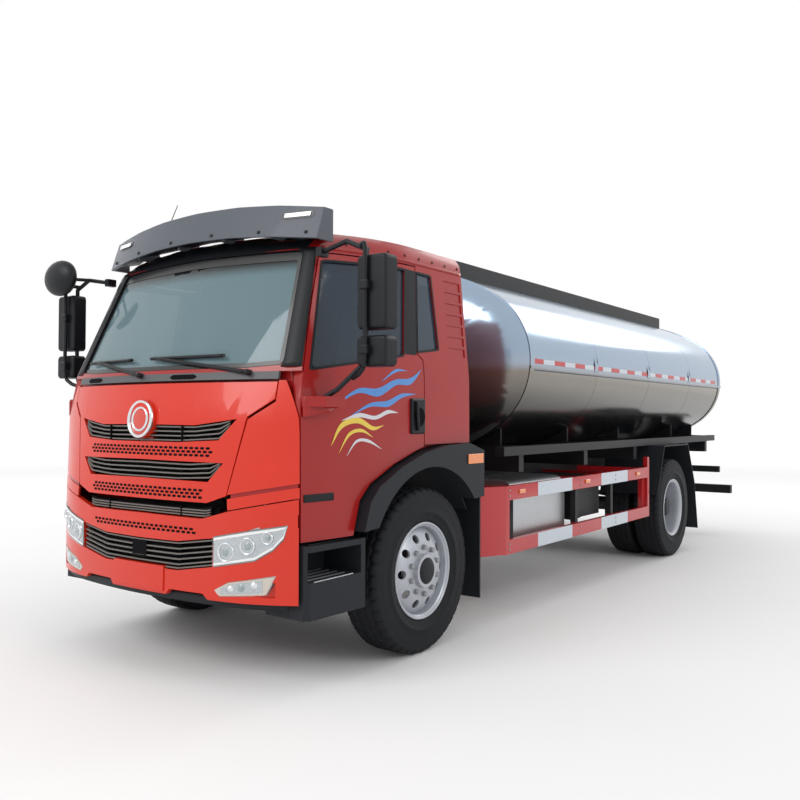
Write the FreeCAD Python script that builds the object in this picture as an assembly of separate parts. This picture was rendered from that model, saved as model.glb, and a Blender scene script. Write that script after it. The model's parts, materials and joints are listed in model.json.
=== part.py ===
import FreeCAD, Part
import math
import os

# Milk tanker truck on two axles, in millimetres: X forwards, Y to the left, Z up.
# Places along the truck are measured from the front axle, and heights from the ground.
# save() shifts the whole truck so that the origin is in the middle of its length.
MIDDLE_BEHIND_FRONT_AXLE = 2890.0
WHEELBASE = 4700.0

# Wheels
TYRE_RADIUS = 520.0
TYRE_WIDTH = 280.0
RIM_RADIUS = 300.0
RIM_WALL = 10.0
FRONT_WHEEL_Y = 1010.0
REAR_OUTER_WHEEL_Y = 1077.0
REAR_INNER_WHEEL_Y = 757.0
KINGPIN_Y = 840.0
KINGPIN_RADIUS = 24.0
SPINDLE_RADIUS = 45.0
PIN_CLEARANCE = 1.0
HAND_HOLE_CIRCLE_RADIUS = 212.0
HAND_HOLE_RADIUS = 27.0
HAND_HOLES = 10

# Chassis rails
RAIL_OUTER_Y = 430.0
RAIL_TOP = 1000.0
RAIL_HEIGHT = 270.0
RAIL_FLANGE = 80.0
RAIL_WALL = 10.0
RAIL_FRONT_X = 1040.0
RAIL_REAR_X = -7010.0

# Cab skin
CAB_WALL = 50.0
CAB_REAR_X = -560.0
CAB_HALF_WIDTH = 1130.0
CAB_FLOOR_TOP = 1290.0
CAB_FLOOR_WALL = 40.0
GLASS_INSET = 12.0
GLASS_WALL = 6.0
PANEL_GAP = 8.0
DOOR_FRONT_X = 1072.0
DOOR_REAR_X = -5.0
DOOR_BOTTOM = 815.0
FLAP_TOP = 1682.0
FLAP_BOTTOM = 1012.0
COWL_TOP = 1760.0
PANEL_WALL = 14.0
PANEL_CORE = 32.0
LIFT_GAP = 15.0
EMBLEM_RADIUS = 112.0
EMBLEM_Z = 1474.0

# Tank
TANK_FRONT_X = -1215.0
TANK_REAR_X = -6770.0
TANK_HALF_WIDTH = 1180.0
TANK_HALF_HEIGHT = 780.0
TANK_SIDE_RADIUS = 600.0
TANK_CENTRE_Z = 1930.0
HEAD_DEPTH = 150.0
BAND_WIDTH = 70.0
BAND_HEIGHT = 8.0
MANWAY_RADIUS = 250.0
MANWAY_WALL = 8.0
MANWAY_TOP = 2830.0
LID_WALL = 14.0

V = FreeCAD.Vector
REAR_AXLE_X = -WHEELBASE
RAIL_BOTTOM = RAIL_TOP - RAIL_HEIGHT


def save(name, shapes):
    """Write one node, shifted to the frame of the whole truck."""
    if not isinstance(shapes, list):
        shapes = [shapes]
    shape = shapes[0] if len(shapes) == 1 else Part.makeCompound(shapes)
    shape = shape.copy()
    shape.translate(V(MIDDLE_BEHIND_FRONT_AXLE, 0, 0))
    shape.exportStep("parts/" + name + ".step")
    print(name, round(shape.Volume / 1e9, 4), "m3", len(shape.Solids), "solids", shape.isValid())


def box(x0, x1, y0, y1, z0, z1):
    return Part.makeBox(x1 - x0, y1 - y0, z1 - z0, V(x0, y0, z0))


def mirrored(shape):
    return shape.mirror(V(0, 0, 0), V(0, 1, 0))


def both_sides(shape):
    return [shape, mirrored(shape)]


def face_of(points):
    return Part.Face(Part.makePolygon([V(*p) for p in points + [points[0]]]))


def prism_x(outline_yz, x0, x1):
    return face_of([(x0, y, z) for y, z in outline_yz]).extrude(V(x1 - x0, 0, 0))


def prism_y(outline_xz, y0, y1):
    return face_of([(x, y0, z) for x, z in outline_xz]).extrude(V(0, y1 - y0, 0))


def prism_z(outline_xy, z0, z1):
    return face_of([(x, y, z0) for x, y in outline_xy]).extrude(V(0, 0, z1 - z0))


def rod(start, end, radius):
    """A round bar between two points."""
    a, b = V(*start), V(*end)
    return Part.makeCylinder(radius, (b - a).Length, a, b - a)


def turned_y(profile, x, z):
    """Revolve (radius, y) points about the wheel axis at x, z."""
    face = face_of([(x + radius, y, z) for radius, y in profile])
    return face.revolve(V(x, 0, z), V(0, 1, 0), 360)


def fused(shapes):
    result = shapes[0]
    if len(shapes) > 1:
        result = result.multiFuse(shapes[1:])
    return result.removeSplitter()


# Cab skin: plan sections from the bottom up, as places on the left half.
# Columns: height, front face x on the centre line, shoulder x, shoulder y, corner x, corner y,
# x where the side turns straight, half width
CAB_SECTIONS = [
    (480.0, 1312.0, 1262.0, 640.0, 1092.0, 1064.0, 250.0, CAB_HALF_WIDTH),
    (1010.0, 1300.0, 1259.0, 640.0, 1090.0, 1063.0, 250.0, CAB_HALF_WIDTH),
    (1480.0, 1281.0, 1209.0, 680.0, 1078.0, 1059.0, 250.0, CAB_HALF_WIDTH),
    (1745.0, 1206.0, 1126.0, 750.0, 1042.0, 1038.0, 230.0, CAB_HALF_WIDTH - 2.0),
    (2470.0, 882.0, 808.0, 730.0, 770.0, 905.0, 50.0, CAB_HALF_WIDTH - 72.0),
    (2540.0, 822.0, 748.0, 700.0, 706.0, 862.0, 20.0, CAB_HALF_WIDTH - 84.0),
    (2588.0, 770.0, 690.0, 660.0, 640.0, 815.0, 0.0, CAB_HALF_WIDTH - 118.0),
    (2608.0, 690.0, 615.0, 620.0, 560.0, 760.0, 0.0, CAB_HALF_WIDTH - 190.0),
]


def turned_point(centre, start, share, end):
    """Point on the arc about centre, part of the way from start to end."""
    first = math.atan2(start[1] - centre[1], start[0] - centre[0])
    last = math.atan2(end[1] - centre[1], end[0] - centre[0])
    radius = math.hypot(start[0] - centre[0], start[1] - centre[1])
    angle = first + share * (last - first)
    return (centre[0] + radius * math.cos(angle), centre[1] + radius * math.sin(angle))


def arc_centre(start, normal, end):
    """Centre of the arc that leaves start square to normal and passes through end."""
    dx, dy = end[0] - start[0], end[1] - start[1]
    radius = (dx * dx + dy * dy) / (2 * (dx * normal[0] + dy * normal[1]))
    return (start[0] + radius * normal[0], start[1] + radius * normal[1])


def plan_wire(section, inset, rear_x):
    """Plan outline at one height: front arc, shoulder arcs up to the corners, curved sides."""
    height, front_x, shoulder_x, shoulder_y, corner_x, corner_y, side_x, half_width = section
    drop = front_x - shoulder_x
    front_radius = (drop * drop + shoulder_y * shoulder_y) / (2 * drop)
    lean = math.asin(shoulder_y / front_radius)
    inward = (-math.cos(lean), -math.sin(lean))
    shoulder = (shoulder_x, shoulder_y)
    corner = (corner_x, corner_y)
    centre = arc_centre(shoulder, inward, corner)
    reach = math.hypot(corner_x - centre[0], corner_y - centre[1])
    front_normal = ((corner_x - centre[0]) / reach, (corner_y - centre[1]) / reach)
    side_end = (side_x, half_width)
    side_centre = arc_centre(side_end, (0.0, -1.0), corner)
    side_reach = math.hypot(corner_x - side_centre[0], corner_y - side_centre[1])
    side_normal = ((corner_x - side_centre[0]) / side_reach, (corner_y - side_centre[1]) / side_reach)
    mitre = inset / (1.0 + front_normal[0] * side_normal[0] + front_normal[1] * side_normal[1])
    new_corner = (corner_x - mitre * (front_normal[0] + side_normal[0]),
                  corner_y - mitre * (front_normal[1] + side_normal[1]))
    new_shoulder = (shoulder_x + inset * inward[0], shoulder_y + inset * inward[1])
    new_side = (side_x, half_width - inset)
    front_middle = turned_point(centre, new_shoulder, 0.5, new_corner)
    side_middle = turned_point(side_centre, new_corner, 0.5, new_side)

    def at(point, sign=1):
        return V(point[0], sign * point[1], height)

    rear = (rear_x, half_width - inset)
    edges = [Part.Arc(at(new_shoulder, -1), at((front_x - inset, 0.0)), at(new_shoulder)).toShape()]
    edges.append(Part.Arc(at(new_shoulder), at(front_middle), at(new_corner)).toShape())
    edges.append(Part.Arc(at(new_corner), at(side_middle), at(new_side)).toShape())
    edges.append(Part.LineSegment(at(new_side), at(rear)).toShape())
    edges.append(Part.LineSegment(at(rear), at(rear, -1)).toShape())
    edges.append(Part.LineSegment(at(rear, -1), at(new_side, -1)).toShape())
    edges.append(Part.Arc(at(new_side, -1), at(side_middle, -1), at(new_corner, -1)).toShape())
    edges.append(Part.Arc(at(new_corner, -1), at(front_middle, -1), at(new_shoulder, -1)).toShape())
    return Part.Wire(edges)


CAB_FORMS = {}


def cab_volume(inset):
    """The cab's outer form as a solid, with every face moved in by inset."""
    if inset in CAB_FORMS:
        return CAB_FORMS[inset]
    wires = []
    for section in CAB_SECTIONS:
        height = section[0] - inset if section is CAB_SECTIONS[-1] else section[0]
        wires.append(plan_wire((height,) + section[1:], inset, CAB_REAR_X + inset))
    CAB_FORMS[inset] = Part.makeLoft(wires, True, True)
    return CAB_FORMS[inset]


def cab_skin(wall, inset=0.0):
    return cab_volume(inset).cut(cab_volume(inset + wall))


def front_face_x(height):
    """Front face of the cab on the centre line at a height."""
    for low, high in zip(CAB_SECTIONS, CAB_SECTIONS[1:]):
        if height <= high[0]:
            share = (height - low[0]) / (high[0] - low[0])
            return low[1] + share * (high[1] - low[1])
    return CAB_SECTIONS[-1][1]


# Outlines on the cab's side, as (x, z) from the front axle
ARCH_CENTRE = (-35.0, TYRE_RADIUS)
ARCH_RADIUS = 655.0
TRIM_OUTLINE = [(668.0, 838.0), (614.0, 1000.0), (528.0, 1085.0), (302.0, 1190.0), (45.0, 1270.0),
                (-200.0, 1304.0), (-488.0, 1314.0), (-674.0, 1260.0), (-674.0, 944.0)]
TRIM_PROUD = 55.0
TRIM_FLANGE = 60.0
DOOR_INNER_EDGE = [(1000.0, 700.0), (1000.0, 1600.0), (976.0, 1713.0), (850.0, 2470.0), (838.0, 2600.0)]
SIDE_SILL = 1316.0
DOOR_SHOULDER_Z = 1850.0
DOOR_TOP = 2452.0
DOOR_OUTLINE = [
    (DOOR_FRONT_X, DOOR_BOTTOM), (DOOR_FRONT_X, 1560.0), (1040.0, 1713.0), (905.0, 2087.0), (764.0,
                                                                                             DOOR_TOP - 14.0),
    (5.0, DOOR_TOP), (62.0, DOOR_SHOULDER_Z + 40.0), (DOOR_REAR_X, DOOR_SHOULDER_Z), (DOOR_REAR_X, 1304.0),
    (51.0, 1289.0), (310.0, 1208.0), (541.0, 1101.0), (631.0, 1011.0), (684.0, DOOR_BOTTOM),
]
DOOR_WINDOW = [(985.0, 1752.0), (762.0, 2392.0), (118.0, 2420.0), (196.0, 1872.0)]
QUARTER_WINDOW = [(48.0, 1902.0), (-10.0, 2418.0), (-172.0, 2414.0), (-202.0, 1934.0)]
# Outlines on the cab's front, as (y, z), left half from the centre line outwards
WINDSHIELD_HALF = [(0.0, 1762.0), (700.0, 1762.0), (905.0, 1775.0), (925.0, 1800.0), (830.0, 2440.0),
                   (800.0, 2462.0), (0.0, 2474.0)]
FLAP_HALF = [(0.0, FLAP_BOTTOM), (543.0, FLAP_BOTTOM), (674.0, 1056.0), (767.0, 1490.0), (912.0, 1588.0),
             (912.0, FLAP_TOP),
             (0.0, FLAP_TOP)]
FLAP_CORE_HALF = [(0.0, FLAP_BOTTOM), (530.0, FLAP_BOTTOM), (656.0, 1060.0), (744.0, 1500.0),
                  (620.0, 1590.0), (0.0, 1610.0)]
GRILLE_UPPER_HALF = [(0.0, 1343.0), (300.0, 1343.0), (596.0, 1358.0), (708.0, 1477.0), (420.0, 1440.0),
                     (0.0, 1444.0)]
GRILLE_MIDDLE_HALF = [(0.0, 1132.0), (541.0, 1126.0), (640.0, 1233.0), (330.0, 1236.0), (0.0, 1239.0)]


def whole_front(half):
    """Close a left half outline with its mirror image."""
    return half + [(-y, z) for y, z in reversed(half) if y > 0]


def grown(outline, gap):
    """Move an outline's edges outwards by gap."""
    wire = Part.makePolygon([V(a, b, 0) for a, b in outline + [outline[0]]])
    moved = wire.makeOffset2D(gap, 2)
    return [(v.Point.x, v.Point.y) for v in moved.OrderedVertexes]


def door_prism(gap):
    outline = grown(DOOR_OUTLINE, gap) if gap else DOOR_OUTLINE
    wide_y = CAB_HALF_WIDTH + 50.0
    inner = [(y - gap, z) for y, z in DOOR_INNER_EDGE] + [(wide_y, 2600.0), (wide_y, 700.0)]
    return prism_y(outline, 700.0, wide_y).common(prism_x(inner, -200.0, 1300.0))


# Ribbed panel behind the quarter window
VENT_FRONT_X = -323.0
VENT_REAR_X = -529.0
VENT_BOTTOM = 1896.0
VENT_TOP = 2426.0
VENT_GROOVES = 7
VENT_GROOVE_HEIGHT = 58.0
VENT_DEPTH = 7.0


def make_cab_shell(skin):
    """Roof, pillars, back wall, side panels and floor, one welded body."""
    shell = skin
    low = box(-700, 1500, -1300, 1300, 0, SIDE_SILL)
    shell = shell.cut(low)
    for prism in both_sides(door_prism(PANEL_GAP)):
        shell = shell.cut(prism)
    shell = shell.cut(prism_x(whole_front(WINDSHIELD_HALF), 600.0, 1400.0))
    shell = shell.cut(box(1040.0, 1500, -1300, 1300, 0, COWL_TOP - 20.0))
    for prism in both_sides(prism_y(QUARTER_WINDOW, 900.0, 1200.0)):
        shell = shell.cut(prism)
    relief = cab_skin(VENT_DEPTH + 2.0, -2.0)
    for number in range(VENT_GROOVES):
        z = VENT_BOTTOM + number * (VENT_TOP - VENT_BOTTOM) / VENT_GROOVES
        groove = relief.common(box(VENT_REAR_X, VENT_FRONT_X, 900.0, 1200.0, z, z + VENT_GROOVE_HEIGHT))
        shell = shell.cut(groove).cut(mirrored(groove))
    inner_y = CAB_HALF_WIDTH - TRIM_FLANGE
    floor = box(CAB_REAR_X, 1040.0, -800.0, 800.0, CAB_FLOOR_TOP - CAB_FLOOR_WALL, CAB_FLOOR_TOP)
    side_floor = box(CAB_REAR_X, -40.0, 800.0, inner_y, CAB_FLOOR_TOP - CAB_FLOOR_WALL, CAB_FLOOR_TOP)
    rear_web = box(CAB_REAR_X, CAB_REAR_X + CAB_WALL, -inner_y, inner_y, CAB_FLOOR_TOP - 5, SIDE_SILL + 20)
    side_web = box(CAB_REAR_X, -40.0, inner_y - 40.0, inner_y, CAB_FLOOR_TOP - 5, SIDE_SILL + 20)
    side_lap = box(CAB_REAR_X, -40.0, inner_y - 40.0, CAB_HALF_WIDTH - CAB_WALL + 5, SIDE_SILL + 2,
                   SIDE_SILL + 20)
    firewall = box(FIREWALL_X, FIREWALL_X + 30.0, -FIREWALL_HALF_WIDTH, FIREWALL_HALF_WIDTH,
                   CAB_FLOOR_TOP - CAB_FLOOR_WALL, COWL_TOP)
    step_side = box(690.0, 1060.0, 780.0, 800.0, 840.0, CAB_FLOOR_TOP)
    return fused([shell, floor, rear_web, firewall] + both_sides(side_floor) + both_sides(side_web)
                 + both_sides(side_lap) + both_sides(step_side) + both_sides(make_corner_carrier()))


def make_cab_glass():
    """Windshield and the two quarter windows, thin panes that follow the skin."""
    pane = cab_skin(GLASS_WALL, GLASS_INSET)
    front = pane.common(prism_x(whole_front(WINDSHIELD_HALF), 600.0, 1400.0))
    quarter = pane.common(prism_y(QUARTER_WINDOW, 900.0, 1200.0))
    return [front] + both_sides(quarter)


def make_cowl(skin):
    """Plastic panel under the windshield, with the two wiper arms that stand on it."""
    band = skin.common(box(900.0, 1400.0, -912.0, 912.0, FLAP_TOP + LIFT_GAP, COWL_TOP - 20.0))
    return fused([band] + make_wipers())


# Wiper arms. Columns: spindle y, tip y, blade's two ends y
WIPERS = [(737.0, -17.0, 536.0, -60.0), (-110.0, -672.0, -258.0, -800.0)]
WIPER_Z = 1736.0
WIPER_SPINDLE_RADIUS = 14.0
BLADE_Z = 1838.0
WIPER_LIFT = 24.0


def front_point(y, height, lift):
    """Point just ahead of the cab's front face at y and a height."""
    face = front_face_x(height)
    return (face - y * y / 7000.0 + lift, y, height)


def make_wipers():
    arms = []
    for spindle_y, tip_y, blade_start, blade_end in WIPERS:
        foot = front_point(spindle_y, WIPER_Z, -20.0)
        head = front_point(spindle_y, WIPER_Z, WIPER_LIFT + 12.0)
        arms.append(rod(foot, head, WIPER_SPINDLE_RADIUS))
        arms.append(rod(front_point(spindle_y, WIPER_Z, WIPER_LIFT),
                        front_point(tip_y, BLADE_Z, WIPER_LIFT), 10.0))
        arms.append(rod(front_point(blade_start, BLADE_Z - 2.0, WIPER_LIFT - 8.0),
                        front_point(blade_end, BLADE_Z - 2.0, WIPER_LIFT - 8.0), 9.0))
    return arms


def panel_front(outline, low_x, wall=PANEL_WALL):
    """A piece of the front skin inside a (y, z) outline."""
    return cab_skin(wall).common(prism_x(outline, low_x, 1400.0))


BUMPER_BOTTOM = 482.0
BUMPER_END_X = 1086.0
CREASE_END_Z = 1050.0
CREASE_START = (690.0, 972.0)
SIDE_SEAM_Y = 1160.0
SHOULDER_GAP = 6.0


def make_corner_panels():
    """Outer front panels beside the flap, and the sloped shoulders below them."""
    pieces = []
    seam = PANEL_GAP
    upper = [(674.0 + seam, 1056.0 + 6.0), (767.0 + seam, 1490.0 - LIFT_GAP),
             (912.0 + seam, 1588.0 - LIFT_GAP),
             (912.0 + seam, FLAP_TOP + PANEL_GAP), (SIDE_SEAM_Y, FLAP_TOP + PANEL_GAP), (SIDE_SEAM_Y, 1149.0)]
    lower = [(CREASE_START[0], CREASE_START[1] + SHOULDER_GAP), (684.0, 1040.0), (SIDE_SEAM_Y, 1128.0),
             (SIDE_SEAM_Y, CREASE_END_Z + SHOULDER_GAP + 16.0)]
    for outline in (upper, lower):
        piece = cab_skin(PANEL_WALL).common(prism_x(outline, DOOR_FRONT_X + PANEL_GAP, 1400.0))
        pieces += both_sides(piece)
    return pieces


# Ties that hold the corner panels to the firewall. Columns: middle height, inner y
CORNER_TIES = [(1052.0, 860.0), (1130.0, 860.0), (1300.0, 860.0), (1545.0, 888.0)]
FIREWALL_X = 1010.0
FIREWALL_HALF_WIDTH = 950.0


def make_corner_carrier():
    """Inner frame that holds the corner panels and shoulders to the firewall."""
    ties = []
    inside = cab_volume(PANEL_WALL)
    for z, inner_y in CORNER_TIES:
        tie = box(FIREWALL_X, 1260.0, inner_y, FIREWALL_HALF_WIDTH - 10.0, z - 14.0, z + 14.0)
        ties.append(tie.common(inside))
    post = box(FIREWALL_X, FIREWALL_X + 50.0, 860.0, FIREWALL_HALF_WIDTH - 10.0, 1038.0, 1690.0)
    return fused([post] + ties)


def make_front_flap():
    """Service flap with two grille openings and a round boss."""
    panel = panel_front(whole_front(FLAP_HALF), 1050.0)
    core = panel_front(whole_front(FLAP_CORE_HALF), 1050.0, PANEL_CORE)
    panel = panel.fuse(core)
    for opening in (GRILLE_UPPER_HALF, GRILLE_MIDDLE_HALF):
        panel = panel.cut(prism_x(whole_front(opening), 1000.0, 1500.0))
    face_x = front_face_x(EMBLEM_Z)
    boss = Part.makeCylinder(EMBLEM_RADIUS, 60.0, V(face_x - 40.0, 0, EMBLEM_Z), V(1, 0, 0))
    bar = box(face_x - 70.0, face_x - 25.0, -60.0, 60.0, 1300.0, 1560.0)
    return fused([panel, boss, bar])


# Grille slats. Columns: height at the middle, half length, rise of the turned-up end
FLAP_SLATS = [(1370.0, 600.0, 44.0), (1414.0, 650.0, 50.0), (1155.0, 540.0, 44.0), (1208.0, 590.0, 50.0)]
BUMPER_SLATS = [(930.0, 520.0, 16.0), (962.0, 555.0, 14.0), (640.0, 578.0, 40.0), (690.0, 580.0, 40.0),
                (742.0, 582.0, 40.0)]
SLAT_DEPTH = 26.0
SLAT_HEIGHT = 15.0


def slat(height, half_length, rise, set_back):
    """A curved blade behind the skin, whose ends turn up."""
    plan = cab_volume(set_back).cut(cab_volume(set_back + SLAT_DEPTH))
    bend = half_length - 90.0
    outline = [(0.0, height), (bend, height), (half_length, height + rise),
               (half_length, height + rise + SLAT_HEIGHT),
               (bend, height + SLAT_HEIGHT), (0.0, height + SLAT_HEIGHT)]
    return plan.common(prism_x(whole_front(outline), 1000.0, 1400.0))


def make_flap_grilles(flap):
    slats = [slat(height, half, rise, 22.0) for height, half, rise in FLAP_SLATS]
    back = cab_skin(6.0, PANEL_CORE + 20.0)
    rear = []
    for opening in (GRILLE_UPPER_HALF, GRILLE_MIDDLE_HALF):
        rear.append(back.common(prism_x(grown(whole_front(opening), 12.0), 1000.0, 1400.0)))
    ribs = [box(front_face_x(1250.0) - 90.0, front_face_x(1250.0) - 20.0, y - 4.0, y + 4.0, 1130.0,
                1440.0) for y in (-330.0, 330.0)]
    return fused(slats + rear + ribs).cut(flap)


LOW_GRILLE_HALF = [(0.0, 622.0), (330.0, 622.0), (592.0, 664.0), (598.0, 822.0), (330.0, 786.0), (0.0, 783.0)]
LOW_GRILLE_BACK = [(0.0, 608.0), (330.0, 608.0), (584.0, 650.0), (586.0, 836.0), (330.0, 800.0), (0.0, 797.0)]
BUMPER_HALF = [(0.0, 476.0), (240.0, 476.0), (272.0, 512.0), (525.0, 512.0), (560.0, BUMPER_BOTTOM),
               (SIDE_SEAM_Y, BUMPER_BOTTOM),
               (SIDE_SEAM_Y, CREASE_END_Z + 16.0), CREASE_START, (506.0, 922.0), (0.0, 926.0)]
HEADLAMP = [(598.0, 814.0), (596.0, 664.0), (820.0, 712.0), (960.0, 790.0), (1160.0, 1000.0),
            (900.0, 905.0), (700.0, 836.0)]
FOG_LAMP = [(606.0, 540.0), (640.0, 508.0), (914.0, 532.0), (964.0, 640.0), (700.0, 590.0)]
PLATE_PANEL = [(-229.0, 496.0), (229.0, 496.0), (229.0, 637.0), (-229.0, 637.0)]


def make_front_bumper(lamps):
    shell = cab_skin(PANEL_CORE).common(prism_x(whole_front(BUMPER_HALF), BUMPER_END_X, 1500.0))
    shell = shell.cut(prism_x(whole_front(LOW_GRILLE_HALF), 1000.0, 1500.0))
    for lamp in (HEADLAMP, FOG_LAMP):
        for hole in both_sides(prism_x(lamp, 1000.0, 1500.0)):
            shell = shell.cut(hole)
    raised = cab_skin(PANEL_CORE + 8.0, -8.0).common(prism_x(PLATE_PANEL, 1200.0, 1500.0))
    beam = box(1150.0, 1200.0, -960.0, 960.0, 520.0, 600.0)
    arms = both_sides(box(RAIL_FRONT_X - 60.0, 1150.0, RAIL_OUTER_Y, RAIL_OUTER_Y + 20.0, 520.0,
                          RAIL_TOP - 60.0))
    stays = []
    for y in (-420.0, 420.0):
        stays.append(box(1190.0, front_face_x(560.0) - 20.0, y - 30.0, y + 30.0, 530.0, 590.0))
    for y in (-940.0, 940.0):
        stays.append(box(1120.0, 1215.0, y - 30.0, y + 30.0, 530.0, 590.0))
    inside = cab_volume(PANEL_CORE - 4.0)
    stays = [stay.common(inside) for stay in stays]
    whole = fused([shell, raised, beam] + arms + stays)
    for lamp in lamps:
        whole = whole.cut(lamp)
    return whole


def make_bumper_grilles(bumper):
    slats = [slat(height, half, rise, 30.0) for height, half, rise in BUMPER_SLATS]
    back = cab_skin(8.0, PANEL_CORE + 22.0)
    low = back.common(prism_x(whole_front(LOW_GRILLE_BACK), 1000.0, 1500.0))
    gap_outline = [(-560.0, 900.0), (560.0, 900.0), (590.0, 985.0), (-590.0, 985.0)]
    upper = back.common(prism_x(gap_outline, 1000.0, 1500.0))
    ribs = []
    for y in (-330.0, 330.0):
        ribs.append(box(front_face_x(800.0) - 70.0, front_face_x(800.0) - 34.0, y - 4.0, y + 4.0, 640.0,
                        985.0))
    sensor = box(front_face_x(700.0) - 62.0, front_face_x(700.0) - 6.0, -64.0, 64.0, 668.0, 765.0)
    return fused(slats + [low, upper, sensor] + ribs).cut(bumper)


def make_front_lamps():
    """Headlamps and fog lamps as solid units seated in the bumper's openings."""
    lamps = []
    for outline in (HEADLAMP, FOG_LAMP):
        unit = cab_skin(110.0, 4.0).common(prism_x(outline, BUMPER_END_X + 14.0, 1500.0))
        lamps += both_sides(unit)
    return lamps


# Visor: plan arcs at two heights. Columns: height, x on the centre line, x at the ends
VISOR_ARCS = [(2470.0, 984.0, 846.0), (2830.0, 863.0, 725.0)]
VISOR_HALF_WIDTH = 959.0
VISOR_BACK_X = 690.0
VISOR_WALL = 20.0
VISOR_HALF = [(0.0, 2570.0), (350.0, 2562.0), (650.0, 2540.0), (VISOR_HALF_WIDTH, 2507.0),
              (VISOR_HALF_WIDTH, 2700.0), (650.0, 2739.0), (350.0, 2762.0), (0.0, 2770.0)]
VISOR_STAY_Y = (-620.0, -210.0, 210.0, 620.0)


def visor_form(inset):
    """Leaning block with a curved front, whose front and end faces are moved in by inset."""
    wires = []
    half = VISOR_HALF_WIDTH - inset
    for height, middle_x, end_x in VISOR_ARCS:
        arc = Part.Arc(V(end_x - inset, -half, height), V(middle_x - inset, 0, height),
                       V(end_x - inset, half, height)).toShape()
        back = Part.makePolygon([V(end_x - inset, half, height), V(VISOR_BACK_X, half, height),
                                 V(VISOR_BACK_X, -half, height), V(end_x - inset, -half, height)])
        wires.append(Part.Wire([arc] + back.Edges))
    return Part.makeLoft(wires, True, True)


def make_sun_visor():
    """Deep curved visor above the windshield, open below and behind, on stays from the roof."""
    outline = whole_front(VISOR_HALF)
    roomy = [(y, z - VISOR_WALL if z > 2650.0 else z - 200.0) for y, z in outline]
    outer = visor_form(0.0).common(prism_x(outline, VISOR_BACK_X, 1100.0))
    hollow = visor_form(VISOR_WALL).common(prism_x(roomy, VISOR_BACK_X - 10.0, 1100.0))
    visor = outer.cut(hollow)
    cab = cab_volume(0.0)
    stays = []
    for y in VISOR_STAY_Y:
        stay = box(VISOR_BACK_X, VISOR_BACK_X + 170.0, y - 12.0, y + 12.0, 2520.0, 2800.0)
        stays.append(stay.common(outer).cut(cab))
    return fused([visor] + stays).cut(cab)


def make_arch_trims():
    """Wheel arch trims with their liners, on both sides of the cab."""
    centre_x, centre_z = ARCH_CENTRE
    outer = prism_y(TRIM_OUTLINE, CAB_HALF_WIDTH - TRIM_FLANGE, CAB_HALF_WIDTH + TRIM_PROUD)
    hole = Part.makeCylinder(ARCH_RADIUS, 800.0, V(centre_x, 600.0, centre_z), V(0, 1, 0))
    below = box(-2000.0, 2000.0, 500.0, 1400.0, 0.0, 838.0)
    trim = outer.cut(hole).cut(below)
    liner = Part.makeCylinder(ARCH_RADIUS + 8.0, 480.0, V(centre_x, 600.0, centre_z), V(0, 1, 0)).cut(hole)
    liner = liner.cut(box(-2000.0, 2000.0, 500.0, 1400.0, -200.0, 850.0))
    trim = fused([trim, liner])
    return both_sides(trim)


def make_seats():
    seats = []
    for y in (-520.0, 520.0):
        base = box(-160.0, 340.0, y - 220.0, y + 220.0, CAB_FLOOR_TOP, CAB_FLOOR_TOP + 260.0)
        cushion = box(-180.0, 380.0, y - 250.0, y + 250.0, CAB_FLOOR_TOP + 250.0, CAB_FLOOR_TOP + 390.0)
        back = prism_y([(-180.0, CAB_FLOOR_TOP + 330.0), (-40.0, CAB_FLOOR_TOP + 330.0),
                        (-160.0, CAB_FLOOR_TOP + 1000.0),
                        (-290.0, CAB_FLOOR_TOP + 1000.0)], y - 240.0, y + 240.0)
        seats.append(fused([base, cushion, back]))
    return seats


def make_dashboard():
    """Dashboard with the steering column and wheel."""
    profile = [(FIREWALL_X, 1480.0), (820.0, 1480.0), (720.0, 1600.0), (730.0, 1720.0), (930.0, 1760.0),
               (FIREWALL_X, 1750.0)]
    board = prism_y(profile, -940.0, 940.0)
    column = rod((800.0, WHEEL_Y, 1580.0), WHEEL_CENTRE, 40.0)
    ring = steering_ring()
    spoke = box(-STEERING_RADIUS, STEERING_RADIUS, -22.0, 22.0, -9.0, 9.0)
    cross = box(-22.0, 22.0, -STEERING_RADIUS, STEERING_RADIUS, -8.0, 8.0)
    wheel = fused([ring, spoke, cross])
    wheel.rotate(V(0, 0, 0), V(0, 1, 0), -43.0)
    wheel.translate(V(*WHEEL_CENTRE))
    return fused([board, column, wheel])


WHEEL_Y = 520.0
WHEEL_CENTRE = (590.0, WHEEL_Y, 1810.0)
STEERING_RADIUS = 225.0
GRIP_RADIUS = 16.0


def steering_ring():
    """Steering wheel rim with an eight-sided section."""
    points = []
    for number in range(8):
        angle = math.pi * (2 * number + 1) / 8
        points.append((STEERING_RADIUS + GRIP_RADIUS * math.cos(angle), 0.0, GRIP_RADIUS * math.sin(angle)))
    return face_of(points).revolve(V(0, 0, 0), V(0, 0, 1), 360)


def make_door(skin):
    """Left door: outer skin, frame round its window and inner edge in one shell."""
    door = skin.common(door_prism(0.0))
    door = door.cut(prism_y(DOOR_WINDOW, 700.0, 1300.0))
    handle = box(DOOR_REAR_X + 8.0, DOOR_REAR_X + 150.0, CAB_HALF_WIDTH - 20.0, CAB_HALF_WIDTH + 14.0,
                 1390.0, 1600.0)
    return fused([door, handle])


def make_door_glass():
    return cab_skin(GLASS_WALL, GLASS_INSET).common(prism_y(DOOR_WINDOW, 700.0, 1300.0))


MIRROR_X = 850.0


def soft_box(x0, x1, y0, y1, z0, z1, radius):
    """A box with its four edges along X and its front edges rounded."""
    block = box(x0, x1, y0, y1, z0, z1)
    along = [edge for edge in block.Edges if abs(edge.tangentAt(edge.FirstParameter).x) > 0.9]
    block = block.makeFillet(radius, along)
    front = [edge for edge in block.Edges if edge.BoundBox.XMin > x1 - 1.0]
    return block.makeFillet(radius * 0.6, front)


ROUND_MIRROR = (1010.0, 1290.0, 2462.0)


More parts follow.
